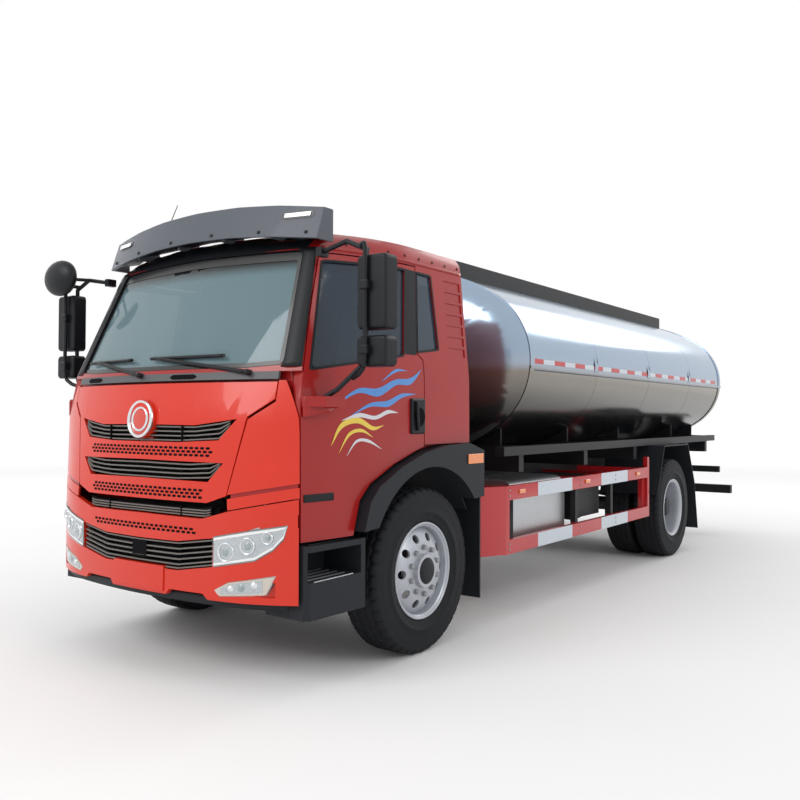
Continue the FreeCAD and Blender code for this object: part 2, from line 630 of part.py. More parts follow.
def make_round_mirror():
    """Convex front mirror on an arm from the mirror tube, on the kerb side alone."""
    bowl = Part.makeSphere(170.0)
    squash = FreeCAD.Matrix()
    squash.scale(0.42, 1.0, 0.74)
    bowl = bowl.transformGeometry(squash).common(box(-20.0, 200.0, -200.0, 200.0, -200.0, 200.0))
    bowl.translate(V(*ROUND_MIRROR))
    x, y, z = ROUND_MIRROR
    arm = rod((MIRROR_X, 1190.0, 2460.0), (x - 14.0, y, z), 12.0)
    return fused([bowl, arm])


def make_mirror(door):
    """Two mirror housings on a bent tube that the door carries."""
    tube = [
        rod((820.0, 985.0, 2425.0), (MIRROR_X, 1190.0, 2460.0), 14.0),
        rod((MIRROR_X, 1190.0, 2460.0), (MIRROR_X, 1330.0, 2400.0), 14.0),
        rod((MIRROR_X, 1330.0, 2400.0), (MIRROR_X, 1330.0, 1790.0), 14.0),
        rod((MIRROR_X, 1330.0, 1790.0), (MIRROR_X + 60.0, 1180.0, 1640.0), 14.0),
        rod((MIRROR_X + 60.0, 1180.0, 1640.0), (MIRROR_X + 90.0, 1100.0, 1590.0), 14.0),
    ]
    joints = [Part.makeSphere(14.0, V(*p)) for p in
              [(MIRROR_X, 1190.0, 2460.0), (MIRROR_X, 1330.0, 2400.0), (MIRROR_X, 1330.0, 1790.0),
               (MIRROR_X + 60.0, 1180.0, 1640.0)]]
    main_case = soft_box(MIRROR_X - 50.0, MIRROR_X + 50.0, 1300.0, 1500.0, 1960.0, 2360.0, 30.0)
    low_case = soft_box(MIRROR_X - 50.0, MIRROR_X + 50.0, 1300.0, 1500.0, 1760.0, 1925.0, 30.0)
    bracket = prism_z([(1060.0, 1040.0), (1060.0, 1085.0), (1000.0, 1175.0), (850.0, 1185.0),
                       (850.0, 1100.0)], 1545.0, 1600.0)
    top_plate = box(785.0, 850.0, 965.0, 1005.0, 2400.0, 2450.0)
    return fused(tube + joints + [main_case, low_case, bracket, top_plate]).cut(door)


def make_chassis_frame():
    """Two open channel rails joined by cross members."""
    pieces = []
    for side in (1, -1):
        web = box(RAIL_REAR_X, RAIL_FRONT_X, min(side * RAIL_OUTER_Y, side * (RAIL_OUTER_Y - RAIL_WALL)),
                  max(side * RAIL_OUTER_Y, side * (RAIL_OUTER_Y - RAIL_WALL)), RAIL_BOTTOM, RAIL_TOP)
        inner = side * (RAIL_OUTER_Y - RAIL_FLANGE)
        outer = side * RAIL_OUTER_Y
        low = box(RAIL_REAR_X, RAIL_FRONT_X, min(inner, outer), max(inner, outer), RAIL_BOTTOM,
                  RAIL_BOTTOM + RAIL_WALL)
        top = box(RAIL_REAR_X, RAIL_FRONT_X, min(inner, outer), max(inner, outer), RAIL_TOP - RAIL_WALL,
                  RAIL_TOP)
        pieces += [web, low, top]
    for x in CROSS_MEMBER_X:
        pieces.append(box(x - 60.0, x + 60.0, -RAIL_OUTER_Y + RAIL_WALL, RAIL_OUTER_Y - RAIL_WALL,
                          RAIL_TOP - 110.0, RAIL_TOP - RAIL_WALL))
    return fused(pieces)


CROSS_MEMBER_X = [980.0, -1050.0, -1800.0, -2800.0, -3900.0, -5350.0, -6300.0, -6940.0]


ENGINE_HALF_WIDTH = RAIL_OUTER_Y - RAIL_FLANGE - 10.0
FOOT_Z = 860.0


def foot(x0, x1):
    """A foot that reaches out of the engine bay and seats against the left rail's web."""
    return box(x0, x1, ENGINE_HALF_WIDTH - 20.0, RAIL_OUTER_Y - RAIL_WALL, FOOT_Z - 20.0, FOOT_Z + 20.0)


def make_engine():
    block = box(-260.0, 880.0, -ENGINE_HALF_WIDTH, ENGINE_HALF_WIDTH, 600.0, 1215.0)
    return fused([block] + both_sides(foot(-160.0, -80.0)) + both_sides(foot(560.0, 640.0)))


def make_radiator():
    core = box(885.0, 915.0, -ENGINE_HALF_WIDTH, ENGINE_HALF_WIDTH, 640.0, 1215.0)
    return fused([core] + both_sides(foot(887.0, 913.0)))


def make_driveline():
    """Gearbox behind the engine and the shaft back to the rear axle."""
    gearbox = Part.makeCone(260.0, 130.0, 620.0, V(-260.0, 0, 830.0), V(-1, 0, 0))
    shaft = rod((-880.0, 0, 830.0), (REAR_AXLE_X + 240.0, 0, TYRE_RADIUS + 54.0), 50.0)
    return fused([gearbox, shaft]).cut(make_rear_axle())


def make_front_axle():
    """Dropped beam with a bored boss at each kingpin."""
    half = [(0.0, 400.0), (420.0, 400.0), (640.0, 455.0), (KINGPIN_Y, 460.0), (KINGPIN_Y, 580.0),
            (620.0, 575.0),
            (400.0, 500.0), (0.0, 500.0)]
    beam = prism_x(whole_front(half), -45.0, 45.0)
    pieces = [beam]
    bores = []
    for y in (-KINGPIN_Y, KINGPIN_Y):
        pieces.append(Part.makeCylinder(58.0, 130.0, V(0, y, 455.0)))
        bores.append(Part.makeCylinder(KINGPIN_RADIUS + PIN_CLEARANCE, 160.0, V(0, y, 440.0)))
    pads = both_sides(box(-90.0, 90.0, 405.0, 475.0, 495.0, 540.0))
    axle = fused(pieces + pads)
    for bore in bores:
        axle = axle.cut(bore)
    return axle


def make_knuckle():
    """Left steering knuckle: fork, kingpin, spindle and brake drum."""
    z = TYRE_RADIUS
    pin = Part.makeCylinder(KINGPIN_RADIUS, 230.0, V(0, KINGPIN_Y, z - 115.0))
    upper = Part.makeCylinder(50.0, 40.0, V(0, KINGPIN_Y, 592.0))
    lower = Part.makeCylinder(50.0, 40.0, V(0, KINGPIN_Y, 408.0))
    plate = box(-55.0, 55.0, KINGPIN_Y + 64.0, KINGPIN_Y + 84.0, 408.0, 632.0)
    bridge_up = box(-45.0, 45.0, KINGPIN_Y, KINGPIN_Y + 80.0, 592.0, 632.0)
    bridge_low = box(-45.0, 45.0, KINGPIN_Y, KINGPIN_Y + 80.0, 408.0, 448.0)
    shield = Part.makeCylinder(190.0, 12.0, V(0, KINGPIN_Y + 72.0, z), V(0, 1, 0))
    spindle = Part.makeCylinder(SPINDLE_RADIUS, FRONT_WHEEL_Y + 96.0 - KINGPIN_Y - 74.0,
                                V(0, KINGPIN_Y + 74.0, z), V(0, 1, 0))
    return fused([pin, upper, lower, plate, bridge_up, bridge_low, shield, spindle])


def make_rear_axle():
    """Housing with the round differential bowl and the two hub ends."""
    z = TYRE_RADIUS
    housing = rod((REAR_AXLE_X, -REAR_OUTER_WHEEL_Y - 60.0, z),
                  (REAR_AXLE_X, REAR_OUTER_WHEEL_Y + 60.0, z), SPINDLE_RADIUS)
    tube = rod((REAR_AXLE_X, -560.0, z), (REAR_AXLE_X, 560.0, z), 75.0)
    bowl = Part.makeSphere(225.0, V(REAR_AXLE_X, 0, z))
    nose = Part.makeCone(150.0, 80.0, 120.0, V(REAR_AXLE_X + 150.0, 0, z + 30.0), V(1, 0, 0.2))
    return fused([housing, tube, bowl, nose])


# Leaf springs. Columns: middle x, half length, seat height, spring y
SPRINGS = [(0.0, 620.0, 540.0, 440.0), (-WHEELBASE, 720.0, 595.0, 500.0)]


def make_springs():
    pieces = []
    for middle, half, seat, y in SPRINGS:
        profile = [(middle - half, seat + 110.0), (middle, seat), (middle + half, seat + 110.0),
                   (middle + half, seat + 140.0), (middle + 260.0, seat + 90.0),
                   (middle - 260.0, seat + 90.0),
                   (middle - half, seat + 140.0)]
        leaf = prism_y(profile, y - 35.0, y + 35.0)
        hangers = []
        for end in (middle - half, middle + half):
            hangers.append(box(end - 40.0, end + 40.0, RAIL_OUTER_Y, y + 35.0, seat + 100.0,
                               RAIL_BOTTOM + 90.0))
        pieces += both_sides(fused([leaf] + hangers))
    return pieces


def front_tyre_profile(y):
    """Tyre section as (radius, y): tread, shoulders, bulged sidewalls and beads."""
    half = TYRE_WIDTH / 2
    return [
        (RIM_RADIUS, y - half + 30.0), (RIM_RADIUS + 60.0, y - half + 4.0), (RIM_RADIUS + 125.0, y - half),
        (TYRE_RADIUS - 32.0, y - half + 10.0), (TYRE_RADIUS - 6.0, y - half + 32.0),
        (TYRE_RADIUS, y - half + 60.0),
        (TYRE_RADIUS, y + half - 60.0), (TYRE_RADIUS - 6.0, y + half - 32.0),
        (TYRE_RADIUS - 32.0, y + half - 10.0),
        (RIM_RADIUS + 125.0, y + half), (RIM_RADIUS + 60.0, y + half - 4.0), (RIM_RADIUS, y + half - 30.0),
    ]


def tyre(x, y):
    return turned_y(front_tyre_profile(y), x, TYRE_RADIUS)


def front_rim_profile(y):
    """Wheel section as (radius, y): barrel, bowed disc and hub."""
    rim = RIM_RADIUS
    wall = RIM_WALL
    return [
        (rim, y - 110.0), (rim - 26.0, y - 112.0), (rim - 36.0, y - 60.0), (rim - 36.0, y + 40.0), (240.0,
                                                                                                    y + 76.0),
        (200.0, y + 100.0), (180.0, y + 108.0), (120.0, y + 108.0), (112.0, y + 30.0),
        (SPINDLE_RADIUS + PIN_CLEARANCE, y + 30.0),
        (SPINDLE_RADIUS + PIN_CLEARANCE, y + 110.0), (60.0, y + 150.0), (104.0, y + 150.0),
        (108.0, y + 120.0), (185.0, y + 120.0),
        (206.0, y + 112.0), (246.0, y + 90.0), (rim - 26.0, y + 66.0), (rim - 22.0, y + 108.0),
        (rim - 10.0, y + 118.0), (rim, y + 118.0),
    ]


def rear_rim_profile(y, outward):
    """Deep dished wheel section for a twin wheel, dished to the inside."""
    rim = RIM_RADIUS
    return [
        (rim, y - outward * 112.0), (rim - 24.0, y - outward * 112.0),
        (rim - 34.0, y - outward * 60.0), (240.0, y - outward * 95.0), (206.0, y - outward * 130.0),
        (SPINDLE_RADIUS + PIN_CLEARANCE, y - outward * 130.0),
        (SPINDLE_RADIUS + PIN_CLEARANCE, y - outward * 118.0),
        (200.0, y - outward * 118.0), (232.0, y - outward * 84.0), (rim - 36.0, y - outward * 44.0),
        (rim - 32.0, y + outward * 90.0), (rim - 24.0, y + outward * 112.0),
        (rim - 12.0, y + outward * 118.0), (rim, y + outward * 118.0),
    ]


def hand_holes(x, y_low, y_high):
    holes = []
    for number in range(HAND_HOLES):
        angle = 2 * math.pi * number / HAND_HOLES
        centre = V(x + HAND_HOLE_CIRCLE_RADIUS * math.cos(angle), y_low,
                   TYRE_RADIUS + HAND_HOLE_CIRCLE_RADIUS * math.sin(angle))
        holes.append(Part.makeCylinder(HAND_HOLE_RADIUS, y_high - y_low, centre, V(0, 1, 0)))
    return holes


def front_rim():
    rim = turned_y(front_rim_profile(FRONT_WHEEL_Y), 0.0, TYRE_RADIUS)
    for hole in hand_holes(0.0, FRONT_WHEEL_Y + 40.0, FRONT_WHEEL_Y + 160.0):
        rim = rim.cut(hole)
    return rim


def rear_rims():
    """Both wheels of a twin pair, bolted face to face, with the hub between them."""
    x = REAR_AXLE_X
    outer = turned_y(rear_rim_profile(REAR_OUTER_WHEEL_Y, 1), x, TYRE_RADIUS)
    inner = turned_y(rear_rim_profile(REAR_INNER_WHEEL_Y, -1), x, TYRE_RADIUS)
    middle_gap = REAR_OUTER_WHEEL_Y - REAR_INNER_WHEEL_Y - 260.0
    hub_low = REAR_INNER_WHEEL_Y + 40.0
    hub = turned_y([(SPINDLE_RADIUS + PIN_CLEARANCE, hub_low), (150.0, hub_low),
                    (150.0, REAR_OUTER_WHEEL_Y - 125.0),
                    (105.0, REAR_OUTER_WHEEL_Y - 118.0), (95.0, REAR_OUTER_WHEEL_Y + 40.0),
                    (60.0, REAR_OUTER_WHEEL_Y + 50.0),
                    (SPINDLE_RADIUS + PIN_CLEARANCE, REAR_OUTER_WHEEL_Y + 50.0)], x, TYRE_RADIUS)
    spacer = turned_y([(130.0, REAR_INNER_WHEEL_Y + 125.0), (180.0, REAR_INNER_WHEEL_Y + 125.0),
                       (180.0, REAR_OUTER_WHEEL_Y - 125.0), (130.0, REAR_OUTER_WHEEL_Y - 125.0)], x,
                       TYRE_RADIUS)
    pair = fused([outer, inner, hub, spacer])
    for hole in hand_holes(x, REAR_OUTER_WHEEL_Y - 150.0, REAR_OUTER_WHEEL_Y - 60.0):
        pair = pair.cut(hole)
    return pair


def oval_wire(x, scale):
    """Tank section at x: two wide arcs and two side arcs, tangent to each other."""
    a = TANK_HALF_WIDTH * scale
    b = TANK_HALF_HEIGHT * scale
    side = TANK_SIDE_RADIUS * scale
    wide = (a * a + b * b - 2 * a * side) / (2 * (b - side))
    turn = math.atan2(wide - b, a - side)
    meet_y = (a - side) + side * math.cos(turn)
    meet_z = side * math.sin(turn)

    def at(y, z):
        return V(x, y, TANK_CENTRE_Z + z)

    edges = [
        Part.Arc(at(meet_y, -meet_z), at(a, 0), at(meet_y, meet_z)).toShape(),
        Part.Arc(at(meet_y, meet_z), at(0, b), at(-meet_y, meet_z)).toShape(),
        Part.Arc(at(-meet_y, meet_z), at(-a, 0), at(-meet_y, -meet_z)).toShape(),
        Part.Arc(at(-meet_y, -meet_z), at(0, -b), at(meet_y, -meet_z)).toShape(),
    ]
    return Part.Wire(edges)


# Domed heads. Columns: share of the head's depth, scale of the section
HEAD_SECTIONS = [(0.0, 0.62), (0.40, 0.84), (0.72, 0.95), (1.0, 1.0)]


def tank_body():
    front = [(TANK_FRONT_X - HEAD_DEPTH * share, scale) for share, scale in HEAD_SECTIONS]
    rear = [(TANK_REAR_X + HEAD_DEPTH * share, scale) for share, scale in reversed(HEAD_SECTIONS)]
    return Part.makeLoft([oval_wire(x, scale) for x, scale in front + rear], True, True)


# Manways. Columns: name, centre x
MANWAYS = [("front", -2700.0), ("rear", -5100.0)]
BAND_X = [TANK_FRONT_X - HEAD_DEPTH - 40.0, -2650.0, -4000.0, -5350.0, TANK_REAR_X + HEAD_DEPTH + 40.0]


def make_tank_shell():
    """Closed tank with edge bands, a side ledge and the two manway necks."""
    pieces = [tank_body()]
    for x in BAND_X:
        outer = Part.Face(oval_wire(x - BAND_WIDTH / 2,
                                    1.0 + BAND_HEIGHT / TANK_HALF_WIDTH)).extrude(V(BAND_WIDTH, 0, 0))
        pieces.append(outer)
    for side in (1, -1):
        low_y, high_y = sorted((side * (TANK_HALF_WIDTH - 60.0), side * (TANK_HALF_WIDTH + 14.0)))
        pieces.append(box(TANK_REAR_X + HEAD_DEPTH, TANK_FRONT_X - HEAD_DEPTH, low_y, high_y,
                          TANK_CENTRE_Z - 65.0, TANK_CENTRE_Z - 45.0))
    for name, x in MANWAYS:
        neck = Part.makeCylinder(MANWAY_RADIUS, MANWAY_TOP - TANK_CENTRE_Z - 500.0,
                                 V(x, 0, TANK_CENTRE_Z + 500.0))
        pieces.append(neck)
        for y in (-HINGE_PLATE_Y, HINGE_PLATE_Y):
            pieces.append(box(x - LID_PIN_BACK - 20.0, x - MANWAY_RADIUS + 4.0, y - 6.0, y + 6.0,
                              MANWAY_TOP - 60.0, MANWAY_TOP - 5.0))
            pieces.append(box(x - LID_PIN_BACK - 20.0, x - LID_RADIUS - 6.0, y - 6.0, y + 6.0,
                              MANWAY_TOP - 60.0, LID_PIN_Z + 18.0))
        pieces.append(rod((x - LID_PIN_BACK, -HINGE_PLATE_Y, LID_PIN_Z),
                          (x - LID_PIN_BACK, HINGE_PLATE_Y, LID_PIN_Z), LID_PIN_RADIUS))
    shell = fused(pieces)
    for name, x in MANWAYS:
        shell = shell.cut(Part.makeCylinder(MANWAY_RADIUS - MANWAY_WALL, 400.0, V(x, 0, MANWAY_TOP - 150.0)))
    return shell


LID_RADIUS = MANWAY_RADIUS + 14.0
LID_PIN_BACK = MANWAY_RADIUS + 52.0
LID_PIN_Z = MANWAY_TOP + 16.0
LID_PIN_RADIUS = 7.0
HINGE_PLATE_Y = 44.0


def make_manway_lid(x):
    """Domed lid with its hinge lug and handle."""
    plate = Part.makeCylinder(LID_RADIUS, LID_WALL, V(x, 0, MANWAY_TOP + 1.0))
    dome = Part.makeCone(MANWAY_RADIUS - 20.0, MANWAY_RADIUS - 110.0, 36.0, V(x, 0, MANWAY_TOP + LID_WALL))
    lug = box(x - LID_PIN_BACK, x - MANWAY_RADIUS + 20.0, -30.0, 30.0, MANWAY_TOP + 1.0, MANWAY_TOP + 31.0)
    eye = rod((x - LID_PIN_BACK, -30.0, LID_PIN_Z), (x - LID_PIN_BACK, 30.0, LID_PIN_Z), 15.0)
    bore = rod((x - LID_PIN_BACK, -31.0, LID_PIN_Z), (x - LID_PIN_BACK, 31.0, LID_PIN_Z),
               LID_PIN_RADIUS + PIN_CLEARANCE)
    return fused([plate, dome, lug, eye]).cut(bore)


CRADLE_X = [-1500.0, -2750.0, -4000.0, -5700.0, -6500.0]
SIDE_BEAM_Y = 1040.0


def make_tank_cradle(tank):
    """Bearers on the rails, saddles that fit the tank, and the side beams."""
    pieces = []
    for side in (1, -1):
        low_y, high_y = sorted((side * (RAIL_OUTER_Y - RAIL_FLANGE), side * RAIL_OUTER_Y))
        pieces.append(box(RAIL_REAR_X + 60.0, -1150.0, low_y, high_y, RAIL_TOP, 1120.0))
        low_y, high_y = sorted((side * (SIDE_BEAM_Y - 40.0), side * (SIDE_BEAM_Y + 40.0)))
        pieces.append(box(-6750.0, -1150.0, low_y, high_y, 1195.0, 1266.0))
    for x in CRADLE_X:
        pieces.append(box(x - 40.0, x + 40.0, -SIDE_BEAM_Y, SIDE_BEAM_Y, 1060.0, 1266.0))
        pieces.append(box(x - 8.0, x + 8.0, -860.0, 860.0, 1100.0, 1460.0))
    return fused(pieces).cut(tank)


WALK_FRONT_X = -1420.0
WALK_REAR_X = -6560.0
WALK_HALF_WIDTH = 430.0


def make_walkway(tank):
    """Coaming rails and tread plates on top of the tank."""
    pieces = []
    for side in (1, -1):
        low_y, high_y = sorted((side * WALK_HALF_WIDTH, side * (WALK_HALF_WIDTH - 40.0)))
        pieces.append(box(WALK_REAR_X, WALK_FRONT_X, low_y, high_y, 2610.0, 2790.0))
    for x in (WALK_FRONT_X - 40.0, WALK_REAR_X):
        pieces.append(box(x, x + 40.0, -WALK_HALF_WIDTH, WALK_HALF_WIDTH, 2660.0, 2790.0))
    return fused(pieces).cut(tank)


STEP_PLAN = [(1066.0, 800.0), (1066.0, 1080.0), (1040.0, 1108.0), (590.0, 1128.0), (630.0, 800.0)]


def make_step_boxes():
    """Entry steps behind the bumper, open towards the side."""
    outer = prism_z(STEP_PLAN, 395.0, 795.0)
    gap = prism_z([(1050.0, 860.0), (1050.0, 1300.0), (612.0, 1300.0), (650.0, 860.0)], 600.0, 760.0)
    step = outer.cut(gap)
    arm = box(700.0, 780.0, RAIL_OUTER_Y, 810.0, 740.0, 790.0)
    return both_sides(fused([step, arm]))


def make_fuel_tank():
    tank = box(-2250.0, -1330.0, 470.0, 1060.0, 460.0, 1000.0)
    edges = [e for e in tank.Edges if abs(e.tangentAt(e.FirstParameter).x) > 0.9]
    tank = tank.makeFillet(110.0, edges)
    straps = [box(x - 25.0, x + 25.0, RAIL_OUTER_Y, 520.0, 700.0, 900.0) for x in (-2050.0, -1530.0)]
    return fused([tank] + straps)


def make_side_boxes():
    """Battery box on the left, air reservoirs on the right, each on brackets."""
    battery = box(-3050.0, -2420.0, 470.0, 1040.0, 600.0, 960.0)
    battery = fused([battery, box(-2900.0, -2600.0, RAIL_OUTER_Y, 480.0, 760.0, 900.0)])
    reservoirs = []
    for z in (620.0, 900.0):
        reservoirs.append(rod((-2250.0, -760.0, z), (-1250.0, -760.0, z), 125.0))
    hangers = []
    for x in (-2050.0, -1450.0):
        hangers.append(box(x - 25.0, x + 25.0, -780.0, -RAIL_OUTER_Y, 560.0, 960.0))
    return [battery, fused(reservoirs + hangers)]


GUARD_FRONT_X = -1000.0
GUARD_REAR_X = -3980.0
GUARD_Y = 1175.0
GUARD_WALL = 45.0
GUARD_POSTS = [-1060.0, -2330.0, -3120.0, -3960.0]


def make_side_guards():
    """Two rails, a nose plate and rear post, hung from arms off the chassis."""
    y0, y1 = GUARD_Y - GUARD_WALL, GUARD_Y
    nose = prism_z([(-700.0, y0 - 120.0), (-700.0, y0 - 95.0), (GUARD_FRONT_X, y1),
                    (GUARD_FRONT_X - 60.0, y1), (GUARD_FRONT_X - 60.0, y0),
                    (GUARD_FRONT_X - 10.0, y0 - 20.0)], 490.0, 985.0)
    upper = box(GUARD_REAR_X, GUARD_FRONT_X, y0, y1, 880.0, 985.0)
    lower = box(GUARD_REAR_X, GUARD_FRONT_X, y0, y1, 486.0, 590.0)
    post = box(GUARD_REAR_X - 50.0, GUARD_REAR_X, y0, y1, 486.0, 1088.0)
    pieces = [nose, upper, lower, post]
    for x in GUARD_POSTS:
        pieces.append(box(x - 25.0, x + 25.0, y0 - 40.0, y0 + 5.0, 486.0, 985.0))
        pieces.append(box(x - 25.0, x + 25.0, RAIL_OUTER_Y, y0, 930.0, 980.0))
    return both_sides(fused(pieces))


def make_rear_mudguards():
    """Angular guards over the rear wheels and the flaps behind the front wheels."""
    top = [(REAR_AXLE_X + 560.0, 700.0), (REAR_AXLE_X + 340.0, 1195.0), (REAR_AXLE_X - 465.0, 1195.0),
           (REAR_AXLE_X - 700.0, 760.0),
           (REAR_AXLE_X - 820.0, 215.0)]
    inner = [(x, z - 0.0) for x, z in top]
    outline = top + [(REAR_AXLE_X - 808.0, 215.0), (REAR_AXLE_X - 688.0, 756.0),
                     (REAR_AXLE_X - 457.0, 1183.0),
                     (REAR_AXLE_X + 332.0, 1183.0), (REAR_AXLE_X + 549.0, 696.0)]
    skin = prism_y(outline, 600.0, 1225.0)
    pieces = [skin]
    for x in (REAR_AXLE_X + 300.0, REAR_AXLE_X - 420.0):
        pieces.append(box(x - 25.0, x + 25.0, SIDE_BEAM_Y - 30.0, SIDE_BEAM_Y + 30.0, 1183.0, 1195.0))
    guard = fused(pieces)
    flap = box(-700.0, -684.0, 560.0, 1140.0, 230.0, 980.0)
    flap_arm = box(-740.0, -700.0, RAIL_OUTER_Y, 1000.0, 880.0, 930.0)
    front = fused([flap, flap_arm])
    return both_sides(guard) + both_sides(front)


def make_rear_bars():
    """Lamp bar and underrun bar across the tail, on stays off the rails."""
    lamp_bar = box(-7080.0, -7020.0, -1060.0, 1060.0, 770.0, 850.0)
    underrun = box(-7120.0, -7040.0, -1200.0, 1200.0, 500.0, 607.0)
    stays = []
    for side in (1, -1):
        low_y, high_y = sorted((side * RAIL_OUTER_Y, side * (RAIL_OUTER_Y + 16.0)))
        stays.append(prism_y([(-6860.0, 960.0), (-7060.0, 960.0), (-7060.0, 520.0), (-7100.0, 520.0),
                              (-7040.0, 505.0), (-6980.0, 760.0)], low_y, high_y))
    return fused([lamp_bar, underrun] + stays)


def make_rear_lamps():
    lamps = []
    for y in (620.0, 780.0, 940.0):
        lamps += both_sides(box(-7105.0, -7080.0, y - 70.0, y + 70.0, 775.0, 845.0))
    return lamps


def make_rear_ladder(tank, walkway, cradle):
    """Ladder from the bumper up to the walkway, on the tank's rear head."""
    pieces = []
    x = TANK_REAR_X - 90.0
    for y in (-200.0, 200.0):
        pieces.append(rod((x, y, 1020.0), (x, y, 2700.0), 18.0))
        pieces.append(rod((x, y, 2690.0), (TANK_REAR_X + 250.0, y, 2690.0), 18.0))
        pieces.append(rod((x, y, 1500.0), (TANK_REAR_X + 80.0, y, 1500.0), 14.0))
        pieces.append(box(x - 18.0, x + 18.0, min(y, math.copysign(RAIL_OUTER_Y, y)),
                          max(y, math.copysign(RAIL_OUTER_Y, y)), 1000.0, 1040.0))
    for number in range(6):
        pieces.append(rod((x, -200.0, 1200.0 + number * 280.0), (x, 200.0, 1200.0 + number * 280.0), 14.0))
    return fused(pieces).cut(tank).cut(walkway).cut(cradle)


OUTLET_RADIUS = 38.0
OUTLET_WALL = 6.0
OUTLET_LENGTH = 160.0
OUTLET_Y = 620.0
OUTLET_END_X = -6980.0


def make_outlet(tank):
    """Discharge pipe from the tank's lowest point to a plain outlet at the tail."""
    start = (TANK_REAR_X + 130.0, OUTLET_Y, 1180.0)
    outer = rod((OUTLET_END_X, OUTLET_Y, 1180.0), start, OUTLET_RADIUS + OUTLET_WALL)
    drop = rod((TANK_REAR_X + 130.0, OUTLET_Y, 1136.0), (TANK_REAR_X + 130.0, OUTLET_Y, 1500.0),
               OUTLET_RADIUS + OUTLET_WALL)
    collar = rod((OUTLET_END_X, OUTLET_Y, 1180.0), (OUTLET_END_X + 40.0, OUTLET_Y, 1180.0),
                 OUTLET_RADIUS + 22.0)
    pipe = fused([outer, drop, collar]).cut(tank)
    return pipe.cut(rod((OUTLET_END_X - 1.0, OUTLET_Y, 1180.0),
                        (OUTLET_END_X + OUTLET_LENGTH, OUTLET_Y, 1180.0), OUTLET_RADIUS))


def main():
    os.makedirs("parts", exist_ok=True)
    skin = cab_skin(CAB_WALL)
    shell = make_cab_shell(skin)
    save("cab_shell", shell)
    save("cab_glass", make_cab_glass())
    save("cowl", make_cowl(cab_skin(PANEL_WALL)).cut(shell))
    save("corner_panels", make_corner_panels())
    flap = make_front_flap()
    save("front_flap", flap)
    save("flap_grilles", make_flap_grilles(flap))
    lamps = make_front_lamps()
    bumper = make_front_bumper(lamps)
    save("front_bumper", bumper)
    save("bumper_grilles", make_bumper_grilles(bumper))
    save("front_lamps", lamps)
    save("sun_visor", make_sun_visor())
    save("arch_trims", make_arch_trims())
    save("seats", make_seats())
    save("dashboard", make_dashboard())
    door = make_door(skin)
    for side, place in (("left", lambda shape: shape), ("right", mirrored)):
        save("door_" + side, place(door))
        save("door_glass_" + side, place(make_door_glass()))
        mirror = make_mirror(door)
        if side == "right":
            mirror = fused([mirror, make_round_mirror()])
        save("mirror_" + side, place(mirror))
        save("knuckle_" + side, place(make_knuckle()))
        save("tyre_front_" + side, place(tyre(0.0, FRONT_WHEEL_Y)))
        save("rim_front_" + side, place(front_rim()))
        save("tyres_rear_" + side, [place(tyre(REAR_AXLE_X, y)) for y in (REAR_OUTER_WHEEL_Y,
                                                                          REAR_INNER_WHEEL_Y)])
        save("rims_rear_" + side, place(rear_rims()))
    save("chassis_frame", make_chassis_frame())
    save("engine_block", make_engine())
    save("radiator", make_radiator())
    save("driveline", make_driveline())
    save("front_axle_beam", make_front_axle())
    save("rear_axle", make_rear_axle())
    save("leaf_springs", make_springs())
    tank = make_tank_shell()
    cradle = make_tank_cradle(tank)
    walkway = make_walkway(tank)
    save("tank_shell", tank)
    for name, x in MANWAYS:
        save("manway_lid_" + name, make_manway_lid(x))
    save("tank_cradle", cradle)
    save("walkway", walkway)
    save("step_boxes", make_step_boxes())
    save("fuel_tank", make_fuel_tank())
    save("side_boxes", make_side_boxes())
    save("side_guards", make_side_guards())
    save("mudguards", make_rear_mudguards())
    save("rear_bars", make_rear_bars())
    save("rear_lamps", make_rear_lamps())
    save("rear_ladder", make_rear_ladder(tank, walkway, cradle))
    save("discharge_pipe", make_outlet(tank))


main()
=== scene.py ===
import json
import math
import bmesh
import bpy
import numpy as np
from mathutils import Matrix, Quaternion, Vector

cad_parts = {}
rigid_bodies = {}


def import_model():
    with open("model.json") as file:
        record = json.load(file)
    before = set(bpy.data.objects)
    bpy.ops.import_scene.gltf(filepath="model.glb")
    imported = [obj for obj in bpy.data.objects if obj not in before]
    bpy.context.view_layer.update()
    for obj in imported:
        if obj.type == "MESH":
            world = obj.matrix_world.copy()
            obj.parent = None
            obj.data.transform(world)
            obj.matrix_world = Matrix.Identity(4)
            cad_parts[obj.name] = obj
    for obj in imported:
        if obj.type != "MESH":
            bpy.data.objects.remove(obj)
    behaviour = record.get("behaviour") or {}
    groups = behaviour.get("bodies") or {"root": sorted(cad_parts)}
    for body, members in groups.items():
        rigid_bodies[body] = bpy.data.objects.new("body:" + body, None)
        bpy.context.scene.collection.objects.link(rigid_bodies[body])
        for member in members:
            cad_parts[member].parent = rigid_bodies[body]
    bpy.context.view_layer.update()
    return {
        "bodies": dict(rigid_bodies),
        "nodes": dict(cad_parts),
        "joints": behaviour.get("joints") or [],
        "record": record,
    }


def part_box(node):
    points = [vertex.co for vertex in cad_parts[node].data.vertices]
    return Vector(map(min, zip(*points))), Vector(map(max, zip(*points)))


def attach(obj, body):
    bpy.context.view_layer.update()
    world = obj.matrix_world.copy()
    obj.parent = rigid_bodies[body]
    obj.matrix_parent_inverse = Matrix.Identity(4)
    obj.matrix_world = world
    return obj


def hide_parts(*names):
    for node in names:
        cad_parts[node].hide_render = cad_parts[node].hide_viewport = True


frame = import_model()
nodes = frame["nodes"]
mm = 0.001
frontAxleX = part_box("tyre_front_left")[0].x / 2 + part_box("tyre_front_left")[1].x / 2
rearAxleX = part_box("tyres_rear_left")[0].x / 2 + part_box("tyres_rear_left")[1].x / 2
print("frame loaded,", len(nodes), "nodes, front axle at", round(frontAxleX, 3))


